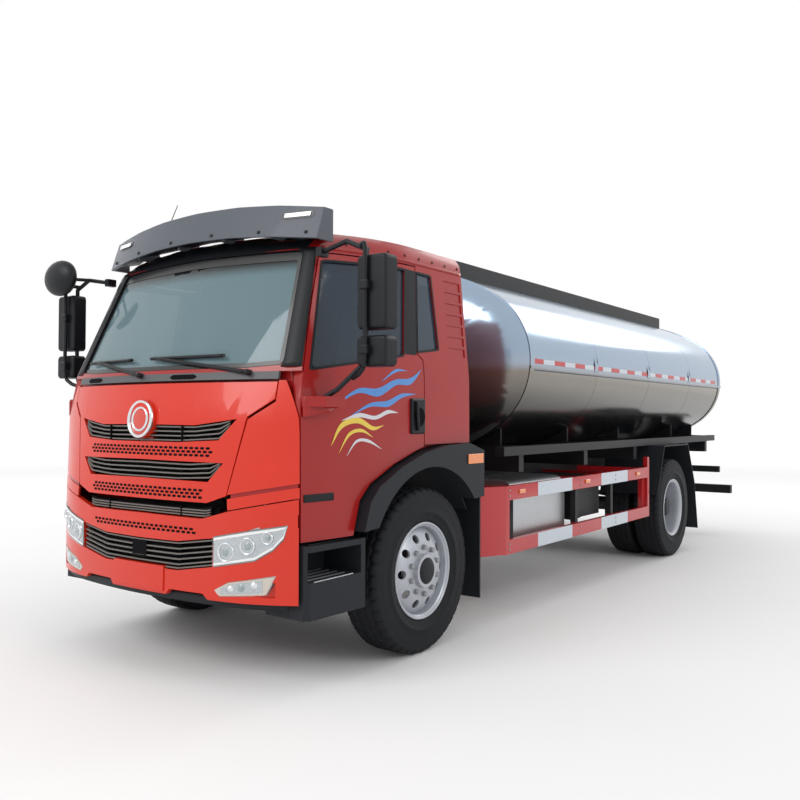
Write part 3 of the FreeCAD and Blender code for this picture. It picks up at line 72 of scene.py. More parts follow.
# shader helpers
class Wire:
    # one output socket, so that node maths reads as plain expressions
    def __init__(self, finish, socket):
        self.finish, self.socket = finish, socket

    def maths(self, operation, *values):
        return self.finish.node("ShaderNodeMath", {"operation": operation}, dict(enumerate(values)))

    def __add__(self, other):
        return self.maths("ADD", self, other)

    def __radd__(self, other):
        return self.maths("ADD", other, self)

    def __sub__(self, other):
        return self.maths("SUBTRACT", self, other)

    def __rsub__(self, other):
        return self.maths("SUBTRACT", other, self)

    def __mul__(self, other):
        return self.maths("MULTIPLY", self, other)

    def __rmul__(self, other):
        return self.maths("MULTIPLY", other, self)

    def __truediv__(self, other):
        return self.maths("DIVIDE", self, other)

    def above(self, level, soft=0.0004):
        # 0 below the level, 1 above it, with a short ramp between
        return self.maths("MULTIPLY_ADD", self - level, 0.5 / soft, 0.5).clamped()

    def below(self, level, soft=0.0004):
        return 1 - self.above(level, soft)

    def clamped(self):
        self.socket.node.use_clamp = True
        return self

    def size(self):
        return self.maths("ABSOLUTE", self)


class Finish:
    # a Principled material, with one method that adds any other node
    def __init__(self, name, **sockets):
        self.material = bpy.data.materials.new(name)
        self.material.use_nodes = True
        self.tree = self.material.node_tree
        self.shader = self.tree.nodes["Principled BSDF"]
        self.put(**sockets)

    def node(self, kind, settings=None, inputs=None, output=0):
        made = self.tree.nodes.new(kind)
        for key, value in (settings or {}).items():
            if key == "stops":
                self.stops(made.color_ramp, value)
            else:
                setattr(made, key, value)
        for key, value in (inputs or {}).items():
            self.link(made.inputs[key], value)
        return Wire(self, made.outputs[output])

    def stops(self, ramp, stops):
        while len(ramp.elements) > 1:
            ramp.elements.remove(ramp.elements[-1])
        for number, (place, value) in enumerate(stops):
            element = ramp.elements[0] if number == 0 else ramp.elements.new(place)
            element.position = place
            element.color = tuple(value) + (1,) if hasattr(value, "__len__") else (value, value, value, 1)

    def link(self, socket, value):
        if isinstance(value, Wire):
            self.tree.links.new(value.socket, socket)
        elif hasattr(value, "__len__") and len(value) == 3 and socket.type == "RGBA":
            socket.default_value = tuple(value) + (1,)
        else:
            socket.default_value = value

    def put(self, **sockets):
        for key, value in sockets.items():
            self.link(self.shader.inputs[key.replace("_", " ")], value)
        return self

    def place(self, axis=None):
        where = self.node("ShaderNodeTexCoord", output="Object")
        if axis is None:
            return where
        return self.node("ShaderNodeSeparateXYZ", {}, {0: where}, axis)

    def noise(self, scale, detail=3.0, roughness=0.55, stretch=None):
        where = self.place()
        if stretch:
            where = self.node("ShaderNodeVectorMath", {"operation": "MULTIPLY"}, {0: where, 1: stretch})
        return self.node("ShaderNodeTexNoise", {}, {"Vector": where, "Scale": scale, "Detail": detail,
                                                    "Roughness": roughness})

    def mix(self, share, first, second):
        # the colour sockets of a Mix node are its inputs 6 and 7, and its colour output is 2
        return self.node("ShaderNodeMix", {"data_type": "RGBA"}, {0: share, 6: first, 7: second}, 2)

    def ramp(self, value, stops):
        return self.node("ShaderNodeValToRGB", {"stops": stops}, {0: value})

    def bump(self, height, strength, distance=0.001):
        made = self.node("ShaderNodeBump", {}, {"Height": height, "Strength": strength, "Distance": distance})
        return self.put(Normal=made)


# colours are scene-linear; "grain" is the size of the finest mottling, per metre
finishes = {
    # the two cab reds are one paint in a lit and a shaded copy: the front's is painted light, the sides' is painted
    # shade
    "litFrontRed": dict(colour=(0.66, 0.030, 0.010), other=(0.58, 0.024, 0.009),
                     rough=0.30, coat=0.35, grain=2.53, spec=0.25),
    "shadedSideRed": dict(colour=(0.34, 0.010, 0.009), other=(0.28, 0.008, 0.008),
                    rough=0.30, coat=0.35, grain=2.53, spec=0.25),
    "visorPlastic": dict(colour=(0.085, 0.095, 0.115), other=(0.070, 0.080, 0.098),
                         rough=0.42, coat=0.1, grain=60, bumpiness=0.08, spec=0.3),
    "trimPlastic": dict(colour=(0.018, 0.021, 0.026), other=(0.013, 0.015, 0.018),
                        rough=0.48, grain=90, bumpiness=0.124, spec=0.2),
    "cowlPlastic": dict(colour=(0.085, 0.085, 0.09), other=(0.07, 0.07, 0.075),
                        rough=0.5, grain=90, bumpiness=0.15),
    "mirrorPlastic": dict(colour=(0.009, 0.010, 0.013), other=(0.006, 0.007, 0.009),
                          rough=0.42, grain=80, bumpiness=0.1, spec=0.25),
    "slatGrey": dict(colour=(0.20, 0.19, 0.175), other=(0.16, 0.15, 0.14),
                     rough=0.38, grain=50, bumpiness=0.04, metal=0.4, spec=0.3),
    "lampClear": dict(colour=(0.62, 0.64, 0.66), other=(0.50, 0.52, 0.54),
                      rough=0.12, coat=1.0, grain=30),
    "lampRed": dict(colour=(0.42, 0.012, 0.012), other=(0.34, 0.01, 0.01),
                    rough=0.15, coat=1.0, grain=40),
    "lampAmber": dict(colour=(0.80, 0.22, 0.02), other=(0.70, 0.17, 0.015),
                      rough=0.18, coat=1.0, grain=60),
    "dashPlastic": dict(colour=(0.075, 0.078, 0.082), other=(0.06, 0.062, 0.066),
                        rough=0.6, grain=120, bumpiness=0.15),
    "tyreRubber": dict(colour=(0.012, 0.013, 0.015), other=(0.008, 0.009, 0.011),
                       rough=0.66, grain=45, bumpiness=0.103, spec=0.2),
    "wheelSilver": dict(colour=(0.46, 0.48, 0.52), other=(0.38, 0.40, 0.44),
                        rough=0.34, coat=0.25, grain=20, bumpiness=0.038, metal=0.35),
    "axleIron": dict(colour=(0.018, 0.019, 0.021), other=(0.03, 0.028, 0.026),
                     rough=0.55, grain=25, bumpiness=0.25, dust=0.12),
    "frameBlack": dict(colour=(0.010, 0.011, 0.013), other=(0.015, 0.016, 0.018),
                       rough=0.45, grain=12, bumpiness=0.068, spec=0.25),
    "alloyPlate": dict(colour=(0.52, 0.53, 0.55), other=(0.45, 0.46, 0.48),
                       rough=0.33, grain=30, bumpiness=0.036, metal=0.9),
    "guardRed": dict(colour=(0.47, 0.010, 0.014), other=(0.40, 0.008, 0.012),
                     rough=0.35, coat=0.4, grain=8, bumpiness=0.036),
    "stainless": dict(colour=(0.60, 0.62, 0.65), other=(0.54, 0.56, 0.59),
                      rough=0.16, grain=3, metal=1.0),
    "seatCloth": dict(colour=(0.33, 0.34, 0.36), other=(0.26, 0.27, 0.29),
                      rough=0.9, grain=160, bumpiness=0.4),
    # near-black that paints the shade inside holes, openings and recesses
    "paintedHoleShade": dict(colour=(0.004, 0.004, 0.005), other=(0.006, 0.006, 0.007),
                      rough=0.7, grain=40, spec=0.05),
    "fritBlack": dict(colour=(0.008, 0.009, 0.010), other=(0.006, 0.006, 0.007),
                      rough=0.3, coat=0.2, grain=40),
    "rubberSeal": dict(colour=(0.010, 0.011, 0.014), other=(0.007, 0.008, 0.010),
                       rough=0.5, grain=60, bumpiness=0.05, spec=0.2),
    "nutSteel": dict(colour=(0.36, 0.37, 0.39), other=(0.28, 0.28, 0.29),
                     rough=0.36, grain=60, bumpiness=0.058, metal=0.8),
    "brightChrome": dict(colour=(0.74, 0.76, 0.78), other=(0.70, 0.72, 0.74),
                         rough=0.12, grain=20, metal=1.0),
    "emblemRed": dict(colour=(0.62, 0.040, 0.020), other=(0.55, 0.034, 0.018),
                      rough=0.3, coat=0.6, grain=10),
    "lampBowl": dict(colour=(0.50, 0.54, 0.56), other=(0.36, 0.39, 0.41),
                     rough=0.16, coat=0.4, grain=26, metal=0.75),
    "lampWhite": dict(colour=(0.86, 0.87, 0.86), other=(0.78, 0.80, 0.80),
                      rough=0.25, coat=0.5, grain=30),
    "lampLens": dict(colour=(0.30, 0.36, 0.38), other=(0.22, 0.27, 0.29),
                     rough=0.06, coat=0.8, grain=30),
    "bezelBeige": dict(colour=(0.58, 0.52, 0.45), other=(0.50, 0.45, 0.39),
                       rough=0.35, coat=0.3, grain=20),
    "decalBlue": dict(colour=(0.045, 0.24, 0.60), other=(0.035, 0.18, 0.50),
                      rough=0.3, coat=0.6, grain=6),
    "decalWhite": dict(colour=(0.62, 0.62, 0.64), other=(0.52, 0.52, 0.56),
                       rough=0.3, coat=0.6, grain=6),
    "decalYellow": dict(colour=(0.74, 0.56, 0.04), other=(0.66, 0.44, 0.03),
                        rough=0.3, coat=0.6, grain=6),
    "tapeWhite": dict(colour=(0.55, 0.60, 0.66), other=(0.47, 0.52, 0.58),
                      rough=0.3, coat=0.3, grain=30, bumpiness=0.03),
    "tapeRed": dict(colour=(0.50, 0.012, 0.020), other=(0.42, 0.010, 0.016),
                    rough=0.3, coat=0.3, grain=30, bumpiness=0.03),
    "seamDark": dict(colour=(0.10, 0.10, 0.11), other=(0.06, 0.06, 0.07),
                     rough=0.4, grain=9, metal=0.6),
}
roadDust = (0.27, 0.24, 0.20)


def makeFinish(name, colour, other, rough, grain, coat=0.0, bumpiness=0.0, dust=0.0, metal=0.0, spec=0.5):
    # two close colours mottled by noise, roughness that follows it, fine bump,
    # and road dust that thins out upwards
    finish = Finish(name, Metallic=metal, Coat_Weight=coat, Coat_Roughness=0.06, Specular_IOR_Level=spec)
    mottle = finish.noise(grain)
    base = finish.mix(mottle, colour, other)
    if dust:
        height = finish.place("Z")
        patches = finish.noise(3.1, 5.0)
        share = (height.below(0.55, 0.5) * patches * dust * 2.2).clamped()
        base = finish.mix(share, base, roadDust)
    finish.put(Base_Color=base, Roughness=mottle * 0.10 + (rough - 0.05))
    if bumpiness:
        finish.bump(finish.noise(grain * 14, 2.0), bumpiness, 0.0006)
    return finish


paints = {name: makeFinish(name, **values) for name, values in finishes.items()}
print("plain finishes:", len(paints))

# glass: a teal windshield with a dark band at its top, and darker panes at the sides
glass = {"tint": (0.17, 0.27, 0.30), "alpha": 0.62, "topBandZ": 2.36, "rough": 0.03,
         "bandTint": (0.006, 0.008, 0.009), "sideTint": (0.030, 0.050, 0.075)}


def makeGlass(name, tint, alpha, topBandZ=None):
    finish = Finish(name, Metallic=0.0, Roughness=glass["rough"], IOR=1.5, Coat_Weight=0.0)
    share = alpha
    base = tint
    if topBandZ:
        band = finish.place("Z").above(topBandZ, 0.035)
        share = band * (1 - alpha) + alpha
        base = finish.mix(band, tint, glass["bandTint"])
        # the small side panes in the same node are darker
        rear = finish.place("X").below(frontAxleX + 0.3)
        base = finish.mix(rear, base, glass["sideTint"])
        share = share + rear * 0.2
    finish.put(Base_Color=base, Alpha=share)
    return finish


paints["windshieldGlass"] = makeGlass("windshieldGlass", glass["tint"], glass["alpha"], glass["topBandZ"])


# heights in metres and scene-linear colours painted on the tank's steel: painted reflections of sky and ground, and
# painted shade low down
paintedReflectionAndShadeStops = [
    (1.15, (0.016, 0.017, 0.020)), (1.45, (0.030, 0.031, 0.035)), (1.62, (0.12, 0.115, 0.105)),
    (1.84, (0.26, 0.235, 0.205)), (1.90, (0.36, 0.42, 0.50)), (2.05, (0.32, 0.41, 0.52))]


def makeTankSteelPaintedReflections():
    # polished steel with painted reflections: the sky's blue above the tape, the ground's warm grey, and then
    # painted shade below it;
    # the ramp runs from 0 to 1, so heights are halved for it
    finish = Finish("tankSteelPaintedReflections", Metallic=0.75, Roughness=0.2, Coat_Weight=0.0)
    height = finish.place("Z") * 0.5
    stops = [(z / 2, colour) for z, colour in paintedReflectionAndShadeStops]
    base = finish.ramp(height + (finish.noise(1.6, 2.0) - 0.5) * 0.02, stops)
    ripple = finish.noise(2.2, 2.0, 0.5, (0.35, 1.0, 1.0))
    finish.put(Base_Color=base, Roughness=ripple * 0.06 + 0.14)
    finish.bump(ripple, 0.05, 0.004)
    return finish


paints["tankSteelPaintedReflections"] = makeTankSteelPaintedReflections()
paints["sideGlass"] = makeGlass("sideGlass", glass["sideTint"], 0.62)
paints["coverClear"] = makeGlass("coverClear", (0.80, 0.84, 0.86), 0.12)


# mesh helpers
def newPiece(name, verts, faces, body, finish, smooth=True):
    mesh = bpy.data.meshes.new(name)
    mesh.from_pydata([tuple(v) for v in np.asarray(verts, float).reshape(-1, 3)], [],
                     [tuple(int(i) for i in f) for f in faces])
    mesh.materials.append(paints[finish].material)
    mesh.polygons.foreach_set("use_smooth", [smooth] * len(mesh.polygons))
    piece = bpy.data.objects.new(name, mesh)
    bpy.context.scene.collection.objects.link(piece)
    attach(piece, body)
    return piece


def gridFaces(rows, columns, wrapRows=False, wrapColumns=False):
    # quads of a rows x columns grid of points, row by row
    r = np.arange(rows if wrapRows else rows - 1)
    c = np.arange(columns if wrapColumns else columns - 1)
    i, j = [a.ravel() for a in np.meshgrid(r, c, indexing="ij")]
    nextRow, nextColumn = (i + 1) % rows, (j + 1) % columns
    return np.stack([i * columns + j, i * columns + nextColumn, nextRow * columns + nextColumn,
                     nextRow * columns + j], axis=1)


def roundEdges(piece, width, segments, sharpest=None):
    rounding = piece.modifiers.new("edge", "BEVEL")
    rounding.width = width
    rounding.segments = segments
    if sharpest:
        rounding.limit_method = "ANGLE"
        rounding.angle_limit = math.radians(sharpest)


def dressed(node, finish, body, angle=32.0, bevel=0.0):
    # a merged, smoothly shaded copy that stands for the CAD node
    source = nodes[node]
    mesh = source.data.copy()
    work = bmesh.new()
    work.from_mesh(mesh)
    bmesh.ops.remove_doubles(work, verts=work.verts, dist=0.00002)
    bmesh.ops.dissolve_limit(work, angle_limit=math.radians(0.4), verts=work.verts, edges=work.edges)
    for edge in work.edges:
        edge.smooth = len(edge.link_faces) == 2 and edge.calc_face_angle(0.0) < math.radians(angle)
    for face in work.faces:
        face.smooth = True
    work.to_mesh(mesh)
    work.free()
    mesh.materials.clear()
    mesh.materials.append(paints[finish].material)
    piece = bpy.data.objects.new(node + "Skin", mesh)
    bpy.context.scene.collection.objects.link(piece)
    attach(piece, body)
    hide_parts(node)
    if bevel:
        roundEdges(piece, bevel, 2, 50)
    return piece


record = frame["record"]
bodyOf = {node: body for body, members in record["behaviour"]["bodies"].items() for node in members}

# finish of every CAD node, and the edge rounding of its dressed copy in metres
# the grille nodes are drawn in that near-black, a painted shade for the dark inside their openings
nodeFinishes = {
    "cab_shell": ("shadedSideRed", 0.003), "cab_glass": ("windshieldGlass", 0), "cowl": ("cowlPlastic", 0.002),
    "corner_panels": ("litFrontRed", 0.002), "front_flap": ("litFrontRed", 0.002), "flap_grilles": ("paintedHoleShade", 0),
    "front_bumper": ("litFrontRed", 0.003), "bumper_grilles": ("paintedHoleShade", 0), "front_lamps": ("lampClear", 0),
    "sun_visor": ("visorPlastic", 0.004), "arch_trims": ("trimPlastic", 0.004), "seats": ("seatCloth", 0.02),
    "dashboard": ("dashPlastic", 0), "door_left": ("shadedSideRed", 0.002), "door_right": ("shadedSideRed", 0.002),
    "door_glass_left": ("sideGlass", 0), "door_glass_right": ("sideGlass", 0),
    "mirror_left": ("mirrorPlastic", 0), "mirror_right": ("mirrorPlastic", 0),
    "knuckle_left": ("axleIron", 0), "knuckle_right": ("axleIron", 0), "tyre_front_left": ("tyreRubber", 0),
    "tyre_front_right": ("tyreRubber", 0), "rim_front_left": ("wheelSilver", 0),
    "rim_front_right": ("wheelSilver", 0), "tyres_rear_left": ("tyreRubber", 0),
    "tyres_rear_right": ("tyreRubber", 0), "rims_rear_left": ("wheelSilver", 0),
    "rims_rear_right": ("wheelSilver", 0), "chassis_frame": ("frameBlack", 0.002),
    "engine_block": ("axleIron", 0.006), "radiator": ("axleIron", 0.003), "driveline": ("axleIron", 0),
    "front_axle_beam": ("axleIron", 0.004), "rear_axle": ("axleIron", 0), "leaf_springs": ("axleIron", 0.002),
    "tank_shell": ("tankSteelPaintedReflections", 0), "manway_lid_front": ("stainless", 0.002),
    "manway_lid_rear": ("stainless", 0.002), "tank_cradle": ("frameBlack", 0.002),
    "walkway": ("frameBlack", 0.002), "step_boxes": ("trimPlastic", 0.004),
    "fuel_tank": ("alloyPlate", 0.003), "side_boxes": ("frameBlack", 0.004),
    "side_guards": ("guardRed", 0.003), "mudguards": ("trimPlastic", 0.002),
    "rear_bars": ("frameBlack", 0.004), "rear_lamps": ("lampRed", 0.004), "rear_ladder": ("stainless", 0),
    "discharge_pipe": ("stainless", 0),
}
skins = {}
for node, (finish, bevel) in nodeFinishes.items():
    skins[node] = dressed(node, finish, bodyOf[node], bevel=bevel)
print("dressed nodes:", len(skins))

# plan sections of the cab in millimetres from the front axle, as in the part's source:
# height, front x, shoulder x, shoulder y, corner x, corner y, side x, half width
cabSections = np.array([
    (480, 1312, 1262, 640, 1092, 1064, 250, 1130), (1010, 1300, 1259, 640, 1090, 1063, 250, 1130),
    (1480, 1281, 1209, 680, 1078, 1059, 250, 1130), (1745, 1206, 1126, 750, 1042, 1038, 230, 1128),
    (2470, 882, 808, 730, 770, 905, 50, 1058), (2540, 822, 748, 700, 706, 862, 20, 1046),
    (2588, 770, 690, 660, 640, 815, 0, 1012), (2608, 690, 615, 620, 560, 760, 0, 940)], float)


def sectionColumn(column, z):
    return np.interp(z, cabSections[:, 0], cabSections[:, column])


def frontX(y, z):
    # x of the cab's front: a circle through the middle and the shoulders, then one from shoulder to corner
    y, z = np.broadcast_arrays(np.abs(np.asarray(y, float)), np.asarray(z, float))
    frontMid, shoulderX, shoulderY, cornerX, cornerY = [sectionColumn(c, z) for c in range(1, 6)]
    drop = frontMid - shoulderX
    radius = (drop ** 2 + shoulderY ** 2) / (2 * drop)
    middle = frontMid - radius + np.sqrt(np.maximum(radius ** 2 - y ** 2, 0))
    lean = np.arcsin(shoulderY / radius)
    inX, inY = -np.cos(lean), -np.sin(lean)
    dx, dy = cornerX - shoulderX, cornerY - shoulderY
    turn = (dx ** 2 + dy ** 2) / (2 * (dx * inX + dy * inY))
    outer = shoulderX + turn * inX + np.sqrt(np.maximum(turn ** 2 - (y - shoulderY - turn * inY) ** 2, 0))
    return np.where(y <= shoulderY, middle, outer)


def sideY(x, z):
    # y of the cab's side: straight behind the tangent point, a circle from there to the corner
    x, z = np.broadcast_arrays(np.asarray(x, float), np.asarray(z, float))
    cornerX, cornerY, sideX, half = [sectionColumn(c, z) for c in range(4, 8)]
    dx, dy = cornerX - sideX, half - cornerY
    radius = (dx ** 2 + dy ** 2) / (2 * dy)
    ahead = np.maximum(x - sideX, 0)
    return half - radius + np.sqrt(np.maximum(radius ** 2 - ahead ** 2, 0))


tank = {"halfWidth": 1180.0, "halfHeight": 780.0, "sideRadius": 600.0, "centreZ": 1930.0,
        "frontX": -1215.0, "rearX": -6770.0, "headDepth": 150.0}


def tankY(z):
    # half width of the tank's section at a height: side arc near the middle, wide arc above and below
    a, b, side = tank["halfWidth"], tank["halfHeight"], tank["sideRadius"]
    wide = (a * a + b * b - 2 * a * side) / (2 * (b - side))
    turn = math.atan2(wide - b, a - side)
    rise = np.abs(np.asarray(z, float) - tank["centreZ"])
    onSide = a - side + np.sqrt(np.maximum(side ** 2 - rise ** 2, 0))
    onWide = np.sqrt(np.maximum(wide ** 2 - (rise + wide - b) ** 2, 0))
    return np.where(rise <= side * math.sin(turn), onSide, onWide)


def place(x, y, z):
    # millimetres from the front axle to the model's metres
    x, y, z = np.broadcast_arrays(np.asarray(x, float), np.asarray(y, float), np.asarray(z, float))
    return np.stack([x * mm + frontAxleX, y * mm, z * mm], axis=-1)


def sheetPiece(name, points, body, finish, thick=0.0, wrapRows=False, wrapColumns=False,
               smooth=True):
    # a grid of points (rows, columns, 3) made a mesh, with a wall of that thickness in metres behind it
    rows, columns = points.shape[:2]
    piece = newPiece(name, points, gridFaces(rows, columns, wrapRows, wrapColumns), body, finish,
                     smooth)
    if thick:
        wall = piece.modifiers.new("wall", "SOLIDIFY")
        wall.thickness = thick
        wall.offset = -1
    return piece


def outwards(piece, towards=None):
    # turn all faces outwards, or an open sheet's faces towards a direction
    work = bmesh.new()
    work.from_mesh(piece.data)
    if towards is None:
        bmesh.ops.remove_doubles(work, verts=work.verts, dist=0.00001)
        bmesh.ops.recalc_face_normals(work, faces=work.faces)
    else:
        total = sum((face.normal * face.calc_area() for face in work.faces), Vector())
        if total.dot(Vector(towards)) < 0:
            bmesh.ops.reverse_faces(work, faces=work.faces)
    work.to_mesh(piece.data)
    work.free()
    return piece


def frontPatch(name, ys, lowZ, highZ, lift, body, finish, thick=0.0, rows=6):
    # a strip of the cab's front between two edges given along y
    share = np.linspace(0, 1, rows)[:, None]
    z = lowZ + share * (highZ - lowZ)
    y = np.broadcast_to(ys, z.shape)
    return outwards(sheetPiece(name, place(frontX(y, z) + lift, y, z), body, finish, thick),
                    (1, 0, 0))


def sidePatch(name, xs, lowZ, highZ, lift, side, body, finish, thick=0.0, rows=6):
    # a strip of the cab's side between two edges given along x
    share = np.linspace(0, 1, rows)[:, None]
    z = lowZ + share * (highZ - lowZ)
    x = np.broadcast_to(xs, z.shape)
    return outwards(sheetPiece(name, place(x, side * (sideY(x, z) + lift), z), body, finish,
                               thick), (0, side, 0))


def ribbonEdges(points, widths):
    # left and right edges of a ribbon in a plane: its line moved sideways by half the width at each point
    points = np.asarray(points, float)
    along = np.gradient(points, axis=0)
    along /= np.linalg.norm(along, axis=1, keepdims=True)
    across = np.stack([-along[:, 1], along[:, 0]], axis=1) * np.asarray(widths, float)[:, None] / 2
    return points - across, points + across


def smoothLine(points, count):
    # points of a Catmull-Rom curve through the given ones
    points = np.asarray(points, float)
    padded = np.vstack([2 * points[0] - points[1], points, 2 * points[-1] - points[-2]])
    t = np.linspace(0, len(points) - 1, count)
    i = np.minimum(t.astype(int), len(points) - 2)
    u = (t - i)[:, None]
    p0, p1, p2, p3 = padded[i], padded[i + 1], padded[i + 2], padded[i + 3]
    return 0.5 * (2 * p1 + (p2 - p0) * u + (2 * p0 - 5 * p1 + 4 * p2 - p3) * u ** 2
                  + (3 * p1 - p0 - 3 * p2 + p3) * u ** 3)


def sideRibbon(name, line, widths, lift, side, body, finish, closed=False, count=60, across=4):
    # a ribbon laid on the cab's side along a line of (x, z)
    points = np.asarray(line + [line[0]] if closed else line, float)
    if not closed:
        points = smoothLine(points, count)
    else:
        t = np.linspace(0, len(points) - 1, count)
        points = np.stack([np.interp(t, np.arange(len(points)), points[:, c]) for c in (0, 1)], axis=1)
    width = np.interp(np.linspace(0, 1, len(points)), np.linspace(0, 1, len(widths)), widths)
    low, high = ribbonEdges(points, width)
    share = np.linspace(0, 1, across)[None, :, None]
    flat = low[:, None, :] + share * (high - low)[:, None, :]
    x, z = flat[..., 0], flat[..., 1]
    return outwards(sheetPiece(name, place(x, side * (sideY(x, z) + lift), z), body, finish),
                    (0, side, 0))


def tubePiece(name, line, radius, body, finish, sides=14, closed=False):
    # a round bar carried along a line of points in metres, its ring turned square to the line at each point
    line = np.asarray(line, float)
    along = np.roll(line, -1, 0) - np.roll(line, 1, 0) if closed else np.gradient(line, axis=0)
    along /= np.linalg.norm(along, axis=1, keepdims=True)
    helper = np.where(np.abs(along[:, 2:3]) > 0.9, [[1.0, 0, 0]], [[0, 0, 1.0]])
    first = np.cross(along, helper)
    first /= np.linalg.norm(first, axis=1, keepdims=True)
    second = np.cross(along, first)
    angle = np.linspace(0, 2 * math.pi, sides, endpoint=False)
    radii = np.broadcast_to(np.asarray(radius, float), (len(line),))[:, None, None]
    cosines, sines = np.cos(angle)[None, :, None], np.sin(angle)[None, :, None]
    ring = line[:, None, :] + radii * (cosines * first[:, None, :] + sines * second[:, None, :])
    faces = gridFaces(len(line), sides, closed, True).tolist()
    if not closed:
        faces += [list(range(sides)), list(range((len(line) - 1) * sides, len(line) * sides))]
    return outwards(newPiece(name, ring, faces, body, finish))


def turned(name, profile, centre, axis, body, finish, turns=64, smooth=True):
    # a profile of (radius, distance along the axis) turned about an axis through the centre, all in metres
    profile = np.asarray(profile, float)
    axis = Vector(axis).normalized()
    first = Vector((0, 0, 1)) if abs(axis.z) < 0.9 else Vector((1, 0, 0))
    first = (first - axis * first.dot(axis)).normalized()
    second = axis.cross(first)
    angle = np.linspace(0, 2 * math.pi, turns, endpoint=False)
    circle = np.cos(angle)[None, :, None] * np.array(first) + np.sin(angle)[None, :, None] * np.array(second)
    radii, along = profile[:, 0][:, None, None], profile[:, 1][:, None, None]
    points = np.array(centre) + radii * circle + along * np.array(axis)
    faces = gridFaces(len(profile), turns, False, True)
    return outwards(newPiece(name, points, faces, body, finish, smooth))


def manyOf(name, verts, faces, centres, body, finish, smooth=False):
    # one mesh of the same small shape at every centre
    verts, faces, centres = np.asarray(verts, float), list(faces), np.asarray(centres, float).reshape(-1, 3)
    points = (centres[:, None, :] + verts[None, :, :]).reshape(-1, 3)
    copies = [[i + n * len(verts) for i in face] for n in range(len(centres)) for face in faces]
    return newPiece(name, points, copies, body, finish, smooth)


def boltShape(axis, radius, height, sides=6):
    # a headed bolt along an axis: a prism with a smaller domed top, base closed
    axis = Vector(axis).normalized()
    first = (Vector((0.3, 0.9, 0.31)).cross(axis)).normalized()
    second = axis.cross(first)
    rings = [(1.0, 0.0), (1.0, 0.7), (0.78, 1.0)]
    angle = np.linspace(0, 2 * math.pi, sides, endpoint=False)
    circle = np.cos(angle)[:, None] * np.array(first) + np.sin(angle)[:, None] * np.array(second)
    points = np.concatenate([radius * share * circle + height * rise * np.array(axis)
                             for share, rise in rings])
    top, base = list(range(2 * sides, 3 * sides)), list(range(sides))[::-1]
    faces = gridFaces(len(rings), sides, False, True).tolist() + [top, base]
    return points, faces


def blockPiece(name, low, high, body, finish, bevel=0.003, segments=3):
    # a block with rounded edges between two opposite corners in metres
    low, high = np.minimum(low, high), np.maximum(low, high)
    corner = np.array([(x, y, z) for x in (0, 1) for y in (0, 1) for z in (0, 1)], float)
    verts = low + corner * (high - low)
    faces = [(0, 1, 3, 2), (4, 6, 7, 5), (0, 4, 5, 1), (2, 3, 7, 6), (0, 2, 6, 4), (1, 5, 7, 3)]
    piece = outwards(newPiece(name, verts, faces, body, finish, False))
    roundEdges(piece, bevel, segments)
    return piece


# tyres
tyreLook = {"columns": 480, "tread": 0.013, "pitches": 44, "grooves": (-0.66, -0.24, 0.24, 0.66),
            "grooveWidth": 0.06, "zigzag": 0.035}


def tyreProfile(radius, width, rim):
    # (radius, y) round the section from bead to bead, in metres
    half = width / 2
    side = [(rim + 0.002, 0.030), (rim + 0.018, 0.014), (rim + 0.024, 0.0125), (rim + 0.060, 0.004),
            (rim + 0.062, 0.001), (rim + 0.072, 0.001),
            (rim + 0.074, 0.003), (rim + 0.125, 0.0), (rim + 0.160, 0.002), (radius - 0.040, 0.008),
            (radius - 0.036, 0.006), (radius - 0.022, 0.012),
            (radius - 0.010, 0.022)]
    left = [(r, -half + inset) for r, inset in side]
    tread = [(radius - 0.004 * abs(t) ** 6, t * (half - 0.032)) for t in np.linspace(-1, 1, 33)]
    return np.array(left + tread + [(r, -y) for r, y in left[::-1]])


def treadDepth(angle, across):
    # zigzag grooves round the tyre, slots across its shoulders and fine cuts in the ribs
    cycle = angle * tyreLook["pitches"] / (2 * math.pi)
    wave = np.abs((cycle % 1) - 0.5) * 2 - 0.5
    line = across + wave * tyreLook["zigzag"] * 2
    depth = np.zeros_like(line)
    for groove in tyreLook["grooves"]:
        depth = np.maximum(depth, np.clip(1.6 - np.abs(line - groove) / tyreLook["grooveWidth"] * 1.6, 0, 1))
    slot = np.clip(1.7 - np.abs((cycle % 1) - 0.5) * 11, 0, 1) * np.clip((np.abs(across) - 0.64) * 14, 0, 1)
    fine = 0.45 * np.clip(1.5 - np.abs(((cycle + 0.5 * across) % 1) - 0.2) * 14, 0,
                          1) * (np.abs(across) < 0.6)
    return np.maximum(np.maximum(depth, slot * 0.9), fine)


def makeTyre(name, centreX, centreY, body):
    radius, width, rim = 0.52, 0.28, 0.30
    profile = tyreProfile(radius, width, rim)
    angle = np.linspace(0, 2 * math.pi, tyreLook["columns"], endpoint=False)
    r, y = profile[:, 0][:, None], profile[:, 1][:, None]
    across = y / (width / 2 - 0.02)
    onTread = np.clip((r - (radius - 0.03)) / 0.018, 0, 1)
    deep = treadDepth(angle[None, :],
                      np.broadcast_to(across, (len(profile), len(angle)))) * onTread * tyreLook["tread"]
    radii = r - deep
    points = np.stack([centreX + radii * np.cos(angle), np.broadcast_to(centreY + y, radii.shape),
                       radius + radii * np.sin(angle)], axis=-1)
    return outwards(sheetPiece(name, points, body, "tyreRubber", wrapRows=True,
                               wrapColumns=True))


